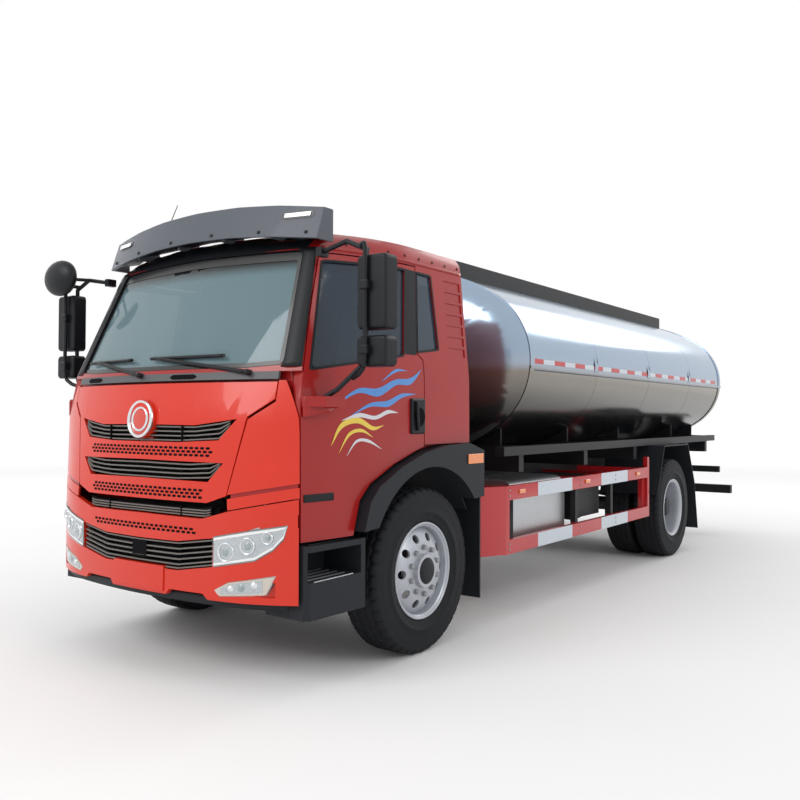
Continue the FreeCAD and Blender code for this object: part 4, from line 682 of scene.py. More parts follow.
wheelPlaces = {"front": (frontAxleX, 1.010, None), "rear": (rearAxleX, 1.077, 0.757)}
for side, sign in (("left", 1), ("right", -1)):
    for end, (centreX, outerY, innerY) in wheelPlaces.items():
        body = "front_wheel_" + side if end == "front" else "rear_wheels_" + side
        outer = makeTyre("tyre_" + end + "_outer_" + side, centreX, sign * outerY, body)
        if end == "front":
            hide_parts("tyre_front_" + side)
            bpy.data.objects.remove(skins["tyre_front_" + side])
        else:
            makeTyre("tyre_rear_inner_" + side, centreX, sign * innerY, body)
            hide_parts("tyres_rear_" + side)
            bpy.data.objects.remove(skins["tyres_rear_" + side])
print("tyres ready")

# wheels
nuts = {"count": 10, "circle": 0.147, "radius": 0.018, "height": 0.026, "cap": 0.104}


def wheelNuts(name, centreX, faceY, sign, body):
    angle = np.linspace(0, 2 * math.pi, nuts["count"], endpoint=False) + 0.31
    centres = np.stack([centreX + nuts["circle"] * np.cos(angle), np.full_like(angle, faceY),
                        0.52 + nuts["circle"] * np.sin(angle)], axis=1)
    verts, faces = boltShape((0, sign, 0), nuts["radius"], nuts["height"])
    outwards(manyOf(name, verts, faces, centres, body, "nutSteel"))


for side, sign in (("left", 1), ("right", -1)):
    wheelNuts("wheelNutsFront_" + side, frontAxleX, sign * 1.129, sign, "front_wheel_" + side)
    wheelNuts("wheelNutsRear_" + side, rearAxleX, sign * 0.958, sign, "rear_wheels_" + side)
    cap = [(0.0, 0.162), (0.05, 0.161), (0.074, 0.157), (0.086, 0.148), (0.100, 0.146),
           (nuts["cap"], 0.140), (nuts["cap"], 0.110)]
    turned("hubCapFront_" + side, cap, (frontAxleX, sign * 1.010, 0.52), (0, sign, 0),
           "front_wheel_" + side, "mirrorPlastic")
    rearCap = [(0.0, 0.072), (0.055, 0.070), (0.085, 0.060), (0.096, 0.048), (0.100, 0.020),
               (0.108, -0.06), (0.112, -0.10)]
    turned("hubCapRear_" + side, rearCap, (rearAxleX, sign * 1.077, 0.52), (0, sign, 0),
           "rear_wheels_" + side, "mirrorPlastic")
    for end, (centreX, outerY, body) in {"Front": (frontAxleX, 1.010, "front_wheel_"),
                                         "Rear": (rearAxleX, 1.077, "rear_wheels_")}.items():
        lip = [(0.300, 0.110), (0.306, 0.119), (0.303, 0.126), (0.294, 0.126), (0.288, 0.118), (0.288, 0.108)]
        turned("rimLip" + end + "_" + side, lip + [lip[0]], (centreX, sign * outerY, 0.52), (0, sign, 0),
               body + side, "wheelSilver", 96)

# front of the cab
# the holes are flat black shapes laid on the panel, painted shade for the dark inside each hole
perforations = {"pitch": 40.0, "step": 20.0, "width": 27.0, "height": 13.5, "rows": [
    # middle height, rows of holes, half length, body that it rides on
    (1292.0, 3, 552.0, "flap"), (1059.0, 3, 506.0, "flap"), (851.0, 2, 466.0, "chassis")]}


def perforatedBand(name, midZ, rows, half, body):
    ys = np.arange(-half, half + 1, perforations["pitch"])
    centres = []
    for row in range(rows):
        z = midZ + (row - (rows - 1) / 2) * perforations["step"]
        shift = perforations["pitch"] / 2 * (row % 2)
        y = ys + shift
        y = y[np.abs(y) < half - 16 * abs(row - (rows - 1) / 2) * 0.4]
        centres.append(np.stack([y, np.full_like(y, z)], axis=1))
    centres = np.concatenate(centres)
    w, h = perforations["width"] / 2, perforations["height"] / 2
    corner = np.array([(-w, -h * 0.6), (-w * 0.8, -h), (w * 0.8, -h), (w, -h * 0.6), (w, h * 0.6),
                       (w * 0.8, h), (-w * 0.8, h), (-w, h * 0.6)])
    flat = centres[:, None, :] + corner[None, :, :]
    points = place(frontX(flat[..., 0], flat[..., 1]) + 1.2, flat[..., 0], flat[..., 1])
    faces = np.arange(len(centres) * len(corner)).reshape(-1, len(corner))
    outwards(newPiece(name, points, faces, body, "paintedHoleShade", False), (1, 0, 0))


for number, row in enumerate(perforations["rows"]):
    perforatedBand("perforatedBand" + str(number + 1), *row)

# chrome ring with a plain domed disc, left bare
emblem = {"z": 1474.0, "proud": 0.022}
emblemX = float(frontX(0, emblem["z"])) * mm + frontAxleX + emblem["proud"]
emblemRings = {
    "emblemRing": ([(0.112, -0.010), (0.113, 0.004), (0.108, 0.010), (0.100, 0.011), (0.094, 0.006),
                    (0.092, -0.004)], "brightChrome", "grille_metal"),
    "emblemDisc": ([(0.0, 0.006), (0.05, 0.004), (0.092, -0.003)], "emblemRed", "cab_paint"),
    "emblemInnerRing": ([(0.060, 0.003), (0.064, 0.009), (0.070, 0.009), (0.074, 0.002)],
                        "brightChrome", "grille_metal")}
for name, (profile, finish, slotName) in emblemRings.items():
    turned(name, profile, (emblemX, 0, emblem["z"] * mm), (1, 0, 0.10), "flap", finish, 96)


# dark trims on the windshield pillars, between the glass and the doors
def pillarTrim(side):
    z = np.linspace(1766, 2476, 26)[None, :]
    inner = np.interp(z, [1762, 1800, 2440, 2476], [912, 921, 824, 800])
    outer = sectionColumn(5, z) + 1
    share = np.linspace(0, 1, 9)[:, None]
    y = inner + share * (outer - inner)
    zz = np.broadcast_to(z, y.shape)
    bulge = 9 * np.sin(share * math.pi) + 4
    sheetPiece("pillarTrim_" + side[0], place(frontX(y, zz) + bulge, side[1] * y, zz), "cab",
               "mirrorPlastic", 0.006)
    outwards(bpy.data.objects["pillarTrim_" + side[0]], (1, 0, 0))


for side in (("left", 1), ("right", -1)):
    pillarTrim(side)

# black printed band round the windshield, on the glass
frit = {"inset": -9.0}
ys = np.linspace(-905, 905, 73)
lowEdge = np.interp(np.abs(ys), [0, 700, 905], [1764, 1764, 1777])
frontPatch("windshieldBandLow", ys, lowEdge, lowEdge + 26, frit["inset"], "cab", "fritBlack")
ysTop = np.linspace(-815, 815, 61)
topLine = np.interp(np.abs(ysTop), [0, 795, 815], [2470, 2459, 2446])
frontPatch("windshieldBandTop", ysTop, topLine - 58, topLine, frit["inset"], "cab", "fritBlack")


def fritSide(name, sign):
    z = np.linspace(1790, 2446, 30)[None, :]
    edge = np.interp(z, [1790, 1800, 2440, 2446], [918, 922, 828, 824])
    y = edge - np.linspace(0, 1, 4)[:, None] * 34
    zz = np.broadcast_to(z, y.shape)
    outwards(sheetPiece(name, place(frontX(y, zz) + frit["inset"], sign * y, zz), "cab", "fritBlack"), (1, 0, 0))


fritSide("windshieldBandLeft", 1)
fritSide("windshieldBandRight", -1)

# louvres let into the cowl, drawn as flat black strips on its surface: painted shade in their openings
for number, (y0, y1) in enumerate([(-760, -560), (150, 370)]):
    ys = np.linspace(y0, y1, 24)
    ends = np.clip((ys - y0) / 26, 0, 1) * np.clip((y1 - ys) / 26, 0, 1)
    frontPatch("cowlVent" + str(number + 1), ys, 1718 - 14 * ends, 1718 + 14 * ends, 2.0, "cab",
               "paintedHoleShade")

# lamps
headLow = ([598, 604, 856, 950, 1000, 1018], [664, 664, 712, 772, 832, 904])
headTop = ([598, 828, 1018], [832, 878, 911])


def headlamp(sign, side):
    ys = np.concatenate([np.linspace(602, 990, 40), np.linspace(996, 1018, 8)])
    low, top = np.interp(ys, *headLow), np.interp(ys, *headTop)
    inset = np.minimum(8, (top - low) * 0.3)

    def patch(name, low, top, lift, finish, slotName, thick=0.0, ys=ys):
        piece = frontPatch(name + side, ys * sign, low, top, lift, "chassis", finish, thick)
        return outwards(piece, (1, 0, 0))

    # painted skin over the far end of the CAD opening, then a pale rim and the bowl inside it
    for name, first, last in (("headlampOver_", 880, 1022), ("headlampEnd_", 1000, 1062)):
        far = np.linspace(first, last, 20)
        under = np.interp(far, *headTop) - 6 if first == 880 else np.interp(far, [960, 1160], [788, 998])
        frontPatch(name + side, far * sign, under, np.interp(far, [700, 900, 1160], [838, 907, 1003]),
                   0.8, "chassis", "litFrontRed")
    patch("headlampRim_", low, top, 1.6, "slatGrey", "lamp_clear")
    patch("headlampBowl_", low + inset, top - inset, 2.2, "lampBowl", "lamp_clear")
    stripTop = low + np.minimum(40, (top - low) * 0.42)
    patch("headlampStrip_", low + inset * 1.2, np.minimum(low + inset * 1.2 + 13, stripTop), 4.0,
          "lampWhite", "lamp_clear")
    browTop = top - inset * 1.1
    patch("headlampBrow_", browTop - np.minimum(14, (top - low) * 0.12), browTop, 4.0, "lampWhite",
          "lamp_clear")
    for number, (y, z, radius) in enumerate([(680, 752, 52), (812, 792, 46), (918, 840, 34)]):
        centre = place(frontX(y, z) - 8, sign * y, z)
        ring = [(radius * mm, 0.004), (radius * mm, 0.016), (radius * 0.9 * mm, 0.018),
                (radius * 0.82 * mm, 0.006), (radius * 0.6 * mm, -0.002)]
        turned("headlampReflector%d_%s" % (number + 1, side), ring, centre, (1, sign * 0.28, 0.02),
               "chassis", "brightChrome", 48)
        lens = [(0.0, 0.016), (radius * 0.35 * mm, 0.013), (radius * 0.6 * mm, 0.004),
                (radius * 0.62 * mm, -0.004)]
        turned("headlampLens%d_%s" % (number + 1, side), lens, centre, (1, sign * 0.28, 0.02), "chassis",
               "lampLens", 40)
    patch("headlampCover_", low + 2, top - 2, 13.0, "coverClear", "lamp_clear")


def fogLamp(sign, side):
    ys = np.linspace(612, 956, 36)
    low = np.interp(ys, [612, 640, 914, 956], [536, 511, 535, 626])
    top = np.interp(ys, [612, 700, 956], [543, 588, 634])

    def patch(name, low, top, lift, finish, ys=ys):
        return outwards(frontPatch(name + side, ys * sign, low, top, lift, "chassis", finish), (1, 0, 0))

    patch("fogBezel_", low, top, 1.0, "bezelBeige")
    inner = (ys > 650) & (ys < 900)
    patch("fogBowl_", low[inner] + 11, top[inner] - 11, 2.2, "lampBowl", ys[inner])
    for number, (y, z, radius) in enumerate([(712, 555, 22), (778, 566, 25), (846, 582, 22)]):
        centre = place(frontX(y, z) - 4, sign * y, z)
        lens = [(0.0, 0.014), (radius * 0.5 * mm, 0.012), (radius * 0.85 * mm, 0.007),
                (radius * mm, 0.002), (radius * 1.08 * mm, 0.004), (radius * 1.12 * mm, -0.002)]
        turned("fogLens%d_%s" % (number + 1, side), lens, centre, (1, sign * 0.2, 0), "chassis",
               "lampLens" if number % 2 else "brightChrome", 36)
    patch("fogCover_", low + 6, top - 6, 5.0, "coverClear")


for sign, side in ((1, "left"), (-1, "right")):
    headlamp(sign, side)
    fogLamp(sign, side)

# lamps let into the visor's ends, and screws along its face
visorArc = {"half": 959.0, "lowZ": 2470.0, "lowMid": 984.0, "lowEnd": 846.0, "highZ": 2830.0,
            "highMid": 863.0}


def visorX(y, z):
    # the leaning arc of the visor's face
    share = (np.asarray(z, float) - visorArc["lowZ"]) / (visorArc["highZ"] - visorArc["lowZ"])
    mid = visorArc["lowMid"] + share * (visorArc["highMid"] - visorArc["lowMid"])
    drop = visorArc["lowMid"] - visorArc["lowEnd"]
    radius = (drop ** 2 + visorArc["half"] ** 2) / (2 * drop)
    return mid - radius + np.sqrt(radius ** 2 - np.asarray(y, float) ** 2)


def visorPatch(name, ys, low, top, lift, finish):
    share = np.linspace(0, 1, 6)[:, None]
    z = low + share * (top - low)
    y = np.broadcast_to(ys, z.shape)
    return outwards(sheetPiece(name, place(visorX(y, z) + lift, y, z), "cab", finish), (1, 0, 0))


for sign, side in ((1, "left"), (-1, "right")):
    ys = sign * np.linspace(700, 905, 24)
    ends = np.clip((np.abs(ys) - 690) / 40, 0, 1) * np.clip((915 - np.abs(ys)) / 30, 0, 1)
    visorPatch("visorLampFrame_" + side, ys, 2655 - 14 * ends, 2684 - 6 * (1 - ends), 3.0, "fritBlack")
    visorPatch("visorLampLens_" + side, ys[2:-2], 2657 - 6 * ends[2:-2], 2678 + 0 * ys[2:-2], 7.0,
               "lampWhite")
screwY = np.array([-880, -560, -190, 190, 560, 880])
screwZ = np.interp(np.abs(screwY), [0, 350, 650, 959], [2600, 2592, 2570, 2545])
verts, faces = boltShape((1, 0, 0.3), 0.011, 0.006, 12)
centres = place(visorX(screwY, screwZ), screwY, screwZ)
outwards(manyOf("visorScrews", verts, faces, centres, "cab", "mirrorPlastic"))
print("front of the cab ready")

# sides of the cab
doorWindow = [(985, 1752), (762, 2392), (118, 2420), (196, 1872)]
quarterWindow = [(48, 1902), (-10, 2418), (-172, 2414), (-202, 1934)]
wave = {  # generic swooshes on the doors: line of (x, z) and widths in millimetres
    "swooshBlue1": ([(820, 1560), (640, 1640), (470, 1636), (300, 1700), (150, 1712), (20, 1790)],
                    [2, 26, 50, 34, 40, 2], "decalBlue"),
    "swooshBlue2": ([(700, 1500), (540, 1560), (380, 1570), (240, 1620), (90, 1634)], [2, 22, 38, 26, 2],
                    "decalBlue"),
    "swooshBlue3": ([(440, 1700), (300, 1770), (180, 1776)], [2, 20, 2], "decalBlue"),
    "swooshWhite1": ([(780, 1470), (640, 1500), (500, 1486), (380, 1520), (280, 1516)],
                     [2, 26, 22, 24, 2], "decalWhite"),
    "swooshYellow1": ([(860, 1330), (780, 1440), (650, 1470), (520, 1424), (420, 1440)],
                      [2, 30, 34, 24, 2], "decalYellow"),
    "swooshYellow2": ([(800, 1290), (720, 1390), (620, 1412), (520, 1372)], [2, 20, 20, 2], "decalYellow"),
    "swooshWhite2": ([(740, 1270), (660, 1350), (560, 1350), (440, 1300)], [2, 16, 18, 2], "decalWhite"),
}


def closedRing(outline, grow):
    # the outline's corners moved outwards by that much, as the ring's middle line
    points = np.asarray(outline, float)
    middle = points.mean(0)
    return [tuple(p + (p - middle) / np.linalg.norm(p - middle) * grow) for p in points]


for sign, side in ((1, "left"), (-1, "right")):
    doorBody = "door_" + side + "_body"
    for name, (line, widths, finish) in wave.items():
        sideRibbon(name + "_" + side, line, widths, 1.6, sign, doorBody, finish)
    sideRibbon("doorWindowSeal_" + side, closedRing(doorWindow, 2), [14], 2.0, sign, doorBody,
               "rubberSeal", True, 90)
    sideRibbon("quarterSeal_" + side, closedRing(quarterWindow, 2), [14], 2.0, sign, "cab", "rubberSeal",
               True, 70)
    # black cover of the pillar between the two windows
    z = np.linspace(1880, 2424, 14)[None, :]
    front = np.interp(z, [1880, 2424], [200, 123])
    rear = np.interp(z, [1880, 1890, 2424], [66, 63.5, 9])
    x = rear + np.linspace(0, 1, 5)[:, None] * (front - rear)
    zz = np.broadcast_to(z, x.shape)
    outwards(sheetPiece("pillarCover_" + side, place(x, sign * (sideY(x, zz) + 2.5), zz), doorBody,
                        "rubberSeal"), (0, sign, 0))
    z = np.linspace(1900, 2420, 14)[None, :]
    front = np.interp(z, [1900, 2420], [59, 5])
    rear = np.interp(z, [1900, 2420], [42, -16])
    x = rear + np.linspace(0, 1, 3)[:, None] * (front - rear)
    zz = np.broadcast_to(z, x.shape)
    outwards(sheetPiece("pillarStrip_" + side, place(x, sign * (sideY(x, zz) + 2.0), zz), "cab",
                        "rubberSeal"), (0, sign, 0))
    # handle: dished black plate with a grip standing off it; the dish is painted darker than the plate, a painted
    # shade in the recess
    low, high = place(-1, sign * 1118, 1384), place(151, sign * 1147.5, 1606)
    blockPiece("handlePlate_" + side, low, high, doorBody, "mirrorPlastic", 0.013)
    dish = [(0.0, 0.0006), (0.052, 0.0008), (0.060, 0.0015), (0.062, -0.002)]
    turned("handleDish_" + side, dish, place(70, sign * 1147.5, 1490), (0, sign, 0), doorBody,
           "paintedHoleShade", 40)
    grip = place([112, 112, 112, 108, 100, 92], sign * np.array([1147, 1158, 1160, 1160, 1158, 1147]),
                 [1582, 1576, 1540, 1480, 1425, 1412])
    tubePiece("handleGrip_" + side, smoothLine(grip, 30), 0.011, doorBody, "mirrorPlastic")
    # blank plate near the front edge of the door
    xs = np.linspace(842, 1056, 12)
    sidePatch("sidePlate_" + side, xs, 1028 + 0 * xs, 1070 + 0 * xs, 4.0, sign, doorBody, "mirrorPlastic",
              0.003)
    # rain gutter above the door with its screws
    xs = np.linspace(740, -550, 60)
    sidePatch("rainGutter_" + side, xs, 2470 + 0 * xs, 2486 + 0 * xs, 7.0, sign, "cab", "shadedSideRed",
              0.008)
    xs = np.arange(-520, 720, 155.0)
    verts, faces = boltShape((0, sign, 0), 0.009, 0.005, 10)
    zz = np.full_like(xs, 2512.0)
    centres = place(xs, sign * (sideY(xs, zz) - 1), zz)
    outwards(manyOf("roofScrews_" + side, verts, faces, centres, "cab", "mirrorPlastic"))
    # amber lamp on the arch trim
    blockPiece("markerLamp_" + side, place(-652, sign * 1188, 1174), place(-452, sign * 1192, 1240),
               "cab", "lampAmber", 0.002)
print("sides of the cab ready")

# black band under the visor, the closing sheet behind its lower edge, the windshield's dark reveal
ys = np.linspace(-838, 838, 61)
frontPatch("roofBand", ys, np.interp(np.abs(ys), [0, 795, 838], [2472, 2462, 2440]),
           np.interp(np.abs(ys), [0, 700, 838], [2580, 2572, 2530]), 1.5, "cab", "mirrorPlastic")
ys = np.linspace(-900, 900, 61)
lowLine = np.interp(np.abs(ys), [0, 350, 650, 959], [2570, 2562, 2540, 2507])
frontEdge = place(visorX(ys, lowLine) - 17, ys, lowLine + 7)
backEdge = place(np.interp(np.abs(ys), [0, 700, 900], [765, 700, 640]), ys,
                 np.interp(np.abs(ys), [0, 700, 900], [2600, 2598, 2570]))
underSheet = np.stack([frontEdge + (backEdge - frontEdge) * share for share in np.linspace(0, 1, 5)])
outwards(sheetPiece("visorUnderside", underSheet, "cab", "mirrorPlastic"), (0, 0, -1))
half = [(0.0, 1764.5), (700.0, 1764.5), (903.0, 1777.5), (922.0, 1801.5), (827.5, 2438.0),
        (799.0, 2459.5), (0.0, 2471.5)]
ring = np.array(half + [(-y, z) for y, z in half[-2:0:-1]], float)
closed = np.vstack([ring, ring[:1]])
y, z = [np.interp(np.linspace(0, len(ring), 241), np.arange(len(closed)), closed[:, c]) for c in (0, 1)]
reveal = np.stack([place(frontX(y, z) + lift, y, z) for lift in (1.6, -4.0, -10.5)])
sheetPiece("windshieldReveal", reveal, "cab", "mirrorPlastic")

# black wiper arms and blades over the CAD ones
def wiperPoint(y, z, lift):
    return place(sectionColumn(1, z) - np.asarray(y, float) ** 2 / 7000 + lift, y, z)


wipers = {"left": (737.0, -17.0, 536.0, -60.0), "right": (-110.0, -672.0, -258.0, -800.0)}
for side, (spindleY, tipY, bladeStart, bladeEnd) in wipers.items():
    share = np.linspace(0, 1, 12)
    start, end = wiperPoint(spindleY, 1736, 24), wiperPoint(tipY, 1838, 24)
    tubePiece("wiperArm_" + side, start + share[:, None] * (end - start), np.linspace(0.0125, 0.0108, 12),
              "cab", "mirrorPlastic", 12)
    start, end = wiperPoint(bladeStart, 1836, 16), wiperPoint(bladeEnd, 1836, 16)
    tubePiece("wiperBlade_" + side, start + share[:, None] * (end - start), 0.0105, "cab",
              "mirrorPlastic", 10)
    turned("wiperCap_" + side, [(0.0, 0.020), (0.012, 0.018), (0.0165, 0.010), (0.0165, -0.016)],
           wiperPoint(spindleY, 1736, 24), (1, 0, 0.3), "cab", "mirrorPlastic", 24)

# black valance under the bumper
ys = np.linspace(-1000, 1000, 81)
frontPatch("bumperValance", ys, 446 + 0 * ys, 500 + 0 * ys, -36.0, "chassis", "trimPlastic",
           0.012, 4)

# tank
tapeZ = {"middle": 1925.0, "half": 19.0, "segment": 200.0}


def tankStrip(name, x0, x1, z0, z1, lift, side, finish, rows=5, thick=0.0):
    z = np.linspace(z0, z1, rows)[:, None]
    x = np.linspace(x0, x1, 2)[None, :]
    x, z = np.broadcast_arrays(x, z)
    return outwards(sheetPiece(name, place(x, side * (tankY(z) + lift), z), "chassis", finish,
                               thick), (0, side, 0))


def tankTape(side, sign):
    # red and white segments in turn, each colour one piece
    for colour, first in (("Red", 0), ("White", 1)):
        verts, faces = [], []
        starts = np.arange(tank["frontX"] - 190 - first * tapeZ["segment"],
                           tank["rearX"] + 190 + tapeZ["segment"] - 1, -2 * tapeZ["segment"])
        z = np.linspace(tapeZ["middle"] - tapeZ["half"], tapeZ["middle"] + tapeZ["half"], 4)[:, None]
        for start in starts:
            x = np.array([[start, start - tapeZ["segment"] + 1]])
            xx, zz = np.broadcast_arrays(x, z)
            grid = place(xx, sign * (tankY(zz) + 2.0), zz).reshape(-1, 3)
            faces += (gridFaces(4, 2) + len(verts)).tolist()
            verts += grid.tolist()
        outwards(newPiece("tankTape" + colour + "_" + side, verts, faces, "chassis", "tape" + colour), (0, sign, 0))


for sign, side in ((1, "left"), (-1, "right")):
    tankTape(side, sign)
    tankStrip("tankSeam_" + side, tank["frontX"] - tank["headDepth"], tank["rearX"] + tank["headDepth"],
              1850, 1860, 1.5, sign, "seamDark")

# a low boss on each manway lid
for number, x in enumerate((-2700.0, -5100.0)):
    body = ("lid_front", "lid_rear")[number]
    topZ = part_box("manway_" + body)[1].z
    bossProfile = [(0.0, 0.010), (0.030, 0.010), (0.036, 0.004), (0.038, -0.004)]
    turned("lidBoss" + str(number + 1), bossProfile, (place(x, 0, 0)[0], 0, topZ - 0.004), (0, 0, 1),
           body, "nutSteel", 32)
# the middle bands of the tank don't show in the photograph, so they are drawn flush
bands = {"x": (-2650.0, -4000.0, -5350.0), "halfWidth": 40.0, "shrink": 0.9925, "rise": (40.0, 800.0)}
for vertex in skins["tank_shell"].data.vertices:
    x = (vertex.co.x - frontAxleX) / mm
    z = vertex.co.z / mm - tank["centreZ"]
    wide = abs(vertex.co.y) / mm > float(tankY(vertex.co.z / mm)) + 1.0 or abs(z) > tank["halfHeight"] + 0.5
    near = min(abs(x - band) for band in bands["x"]) < bands["halfWidth"]
    if wide and near and bands["rise"][0] < abs(z) < bands["rise"][1]:
        vertex.co.y *= bands["shrink"]
        vertex.co.z = (tank["centreZ"] + z * bands["shrink"]) * mm
print("tank ready")

# side guards, steps and rear lamps
guardWhite = [(-1521.0, -2156.0), (-2782.0, -3425.0)]
for sign, side in ((1, "left"), (-1, "right")):
    for number, (x0, x1) in enumerate(guardWhite):
        for level, (z0, z1) in {"Upper": (880, 985), "Lower": (486, 590)}.items():
            low, high = place(x1, sign * 1172, z0 - 1), place(x0, sign * 1176.5, z1 + 1)
            blockPiece("guardWhite%s%d_%s" % (level, number + 1, side), low, high, "chassis", "tapeWhite",
                       0.001, 1)
    markers = [(-1250, 935), (-2470, 935), (-3700, 935)]
    for number, (x, z) in enumerate(markers):
        low, high = place(x - 45, sign * 1173, z - 16), place(x + 45, sign * 1186, z + 16)
        blockPiece("guardMarker%d_%s" % (number + 1, side), low, high, "chassis", "lampAmber",
                   0.004)
    # the middle posts are black
    for number, x in enumerate((-2330, -3120)):
        low, high = place(x - 26.5, sign * 1088.5, 591), place(x + 26.5, sign * 1137, 879)
        blockPiece("guardPost%d_%s" % (number + 1, side), low, high, "chassis", "frameBlack",
                   0.002, 1)
    # bolts of the guard posts
    xs = np.repeat([-1060.0, -2330.0, -3120.0], 4)
    zs = np.tile([912.0, 953.0, 518.0, 558.0], 3)
    verts, faces = boltShape((0, sign, 0), 0.009, 0.006)
    outwards(manyOf("guardBolts_" + side, verts, faces, place(xs, sign * 1174.5, zs), "chassis",
                    "nutSteel"))
    # tread bars on the two entry steps
    for level, (z, y0, y1) in {"Low": (600.5, 870, 1112), "Top": (795.5, 830, 1085)}.items():
        ys = np.arange(y0, y1, 30.0)
        for number in range(0, len(ys), 2):
            low, high = place(690, sign * ys[number], z - 1), place(1020, sign * (ys[number] + 9), z + 5)
            blockPiece("tread%s%d_%s" % (level, number, side), low, high, "chassis",
                       "alloyPlate" if level == "Low" else "trimPlastic", 0.0015, 1)
    # lenses of the rear lamps in thin frames
    lens = [(0.0, 0.010), (0.020, 0.009), (0.028, 0.005), (0.030, -0.002)]
    for y, finish in ((620, "lampRed"), (780, "lampAmber"), (940, "lampRed")):
        turned("rearLens%d_%s" % (y, side), lens, place(-7105, sign * y, 810), (-1, 0, 0), "chassis",
               finish, 32)
        corners = ((-66, -31), (66, -31), (66, 31), (-66, 31))
        frame = np.array([place(-7106, sign * (y + dy), 810 + dz) for dy, dz in corners])
        runs = [np.linspace(frame[i], frame[(i + 1) % 4], 6, endpoint=False) for i in range(4)]
        tubePiece("rearLensFrame%d_%s" % (y, side), np.concatenate(runs), 0.003, "chassis", "fritBlack",
                  6, True)
    # red and white tape on the underrun bar
    for number, y in enumerate(np.arange(60, 1140, 180.0)):
        low, high = place(-7122, sign * y, 528), place(-7119, sign * (y + 178), 578)
        blockPiece("barTape%d_%s" % (number, side), low, high, "chassis",
                   "tapeRed" if number % 2 else "tapeWhite", 0.0008, 1)
print("sides and rear ready")


# mirrors: glass in the rear faces, clamps on the tube, painted bracket on the door
def mirrorParts(sign, side):
    body = "door_" + side + "_body"
    for name, (z0, z1) in {"mirrorGlassMain_": (1985, 2335), "mirrorGlassLow_": (1782, 1903)}.items():
        low, high = place(797, sign * 1322, z0), place(801, sign * 1478, z1)
        blockPiece(name + side, low, high, body, "brightChrome", 0.0015, 1)
    outline = np.array([(1061, 1041), (1061, 1086), (1001, 1176.5), (848.5, 1186.5), (848.5, 1101)], float)
    ring = [place(outline[:, 0], sign * outline[:, 1], z) for z in (1543.0, 1602.0)]
    faces = gridFaces(2, 5, False, True).tolist() + [[0, 1, 2, 3, 4], [9, 8, 7, 6, 5]]
    piece = outwards(newPiece("mirrorBracket_" + side, np.concatenate(ring), faces, body, "shadedSideRed",
                              False))
    roundEdges(piece, 0.004, 2)
    wedge = np.array([(1068, 1598), (852, 1599), (846, 1560), (930, 1512), (1068, 1486)], float)
    ring = [place(wedge[:, 0], sign * y, wedge[:, 1]) for y in (1062.0, 1120.0)]
    ring[1][:, 1] += sign * mm * np.array([-30, 55, 60, 44, -32])
    piece = outwards(newPiece("mirrorWedge_" + side, np.concatenate(ring), faces, body, "shadedSideRed",
                              False))
    roundEdges(piece, 0.012, 3)
    # bar in front of the two housings, and the blocks that hold them
    barY = sign * np.array([1300, 1334, 1372, 1372, 1372, 1330, 1262])
    bar = place([852, 896, 916, 916, 916, 904, 880], barY, [2418, 2420, 2385, 2100, 1800, 1728, 1700])
    tubePiece("mirrorBar_" + side, smoothLine(bar, 60), 0.013, body, "mirrorPlastic", 16)
    for number, z in enumerate((2195, 1850)):
        low, high = place(896, sign * 1345, z - 26), place(938, sign * 1400, z + 26)
        blockPiece("mirrorClamp%d_%s" % (number + 1, side), low, high, body, "mirrorPlastic",
                   0.008)


mirrorParts(1, "left")
mirrorParts(-1, "right")

# thin antenna above the visor's right end, and the ribbed black strip at the cab's rear edges
antennaLine = smoothLine(place([700, 690, 660, 630], [-600, -592, -550, -500], [2610, 2660, 2800, 2945]), 20)
tubePiece("antenna", antennaLine, np.linspace(0.006, 0.0025, 20), "cab", "mirrorPlastic", 8)
for sign, side in ((1, "left"), (-1, "right")):
    z = np.linspace(1500, 2450, 150)
    fold = 5 * np.sin(z / 950 * 60 * math.pi)
    half = sectionColumn(7, z)
    inner, outer = half - 96 + 0 * fold, half - 40 + fold
    x = np.array([-530, -560, -560, -530])[None, :]
    y = np.stack([outer, outer, inner, inner], axis=1)
    zz = np.broadcast_to(z[:, None], y.shape)
    piece = sheetPiece("rearStrip_" + side, place(np.broadcast_to(x, y.shape), sign * y, zz), "cab",
                       "rubberSeal", wrapColumns=True)
    outwards(piece)


# seats: crowned cushions with sewn channels, in the space of the CAD seats
seatForms = {  # middle x, middle z, half length along, half width, half thickness, lean in degrees
    "seatCushion": (100.0, 1610.0, 272.0, 244.0, 62.0, 3.0),
    "seatBack": (-158.0, 1960.0, 300.0, 232.0, 56.0, 80.0),
    "seatHeadrest": (-226.0, 2232.0, 70.0, 130.0, 44.0, 80.0),
}


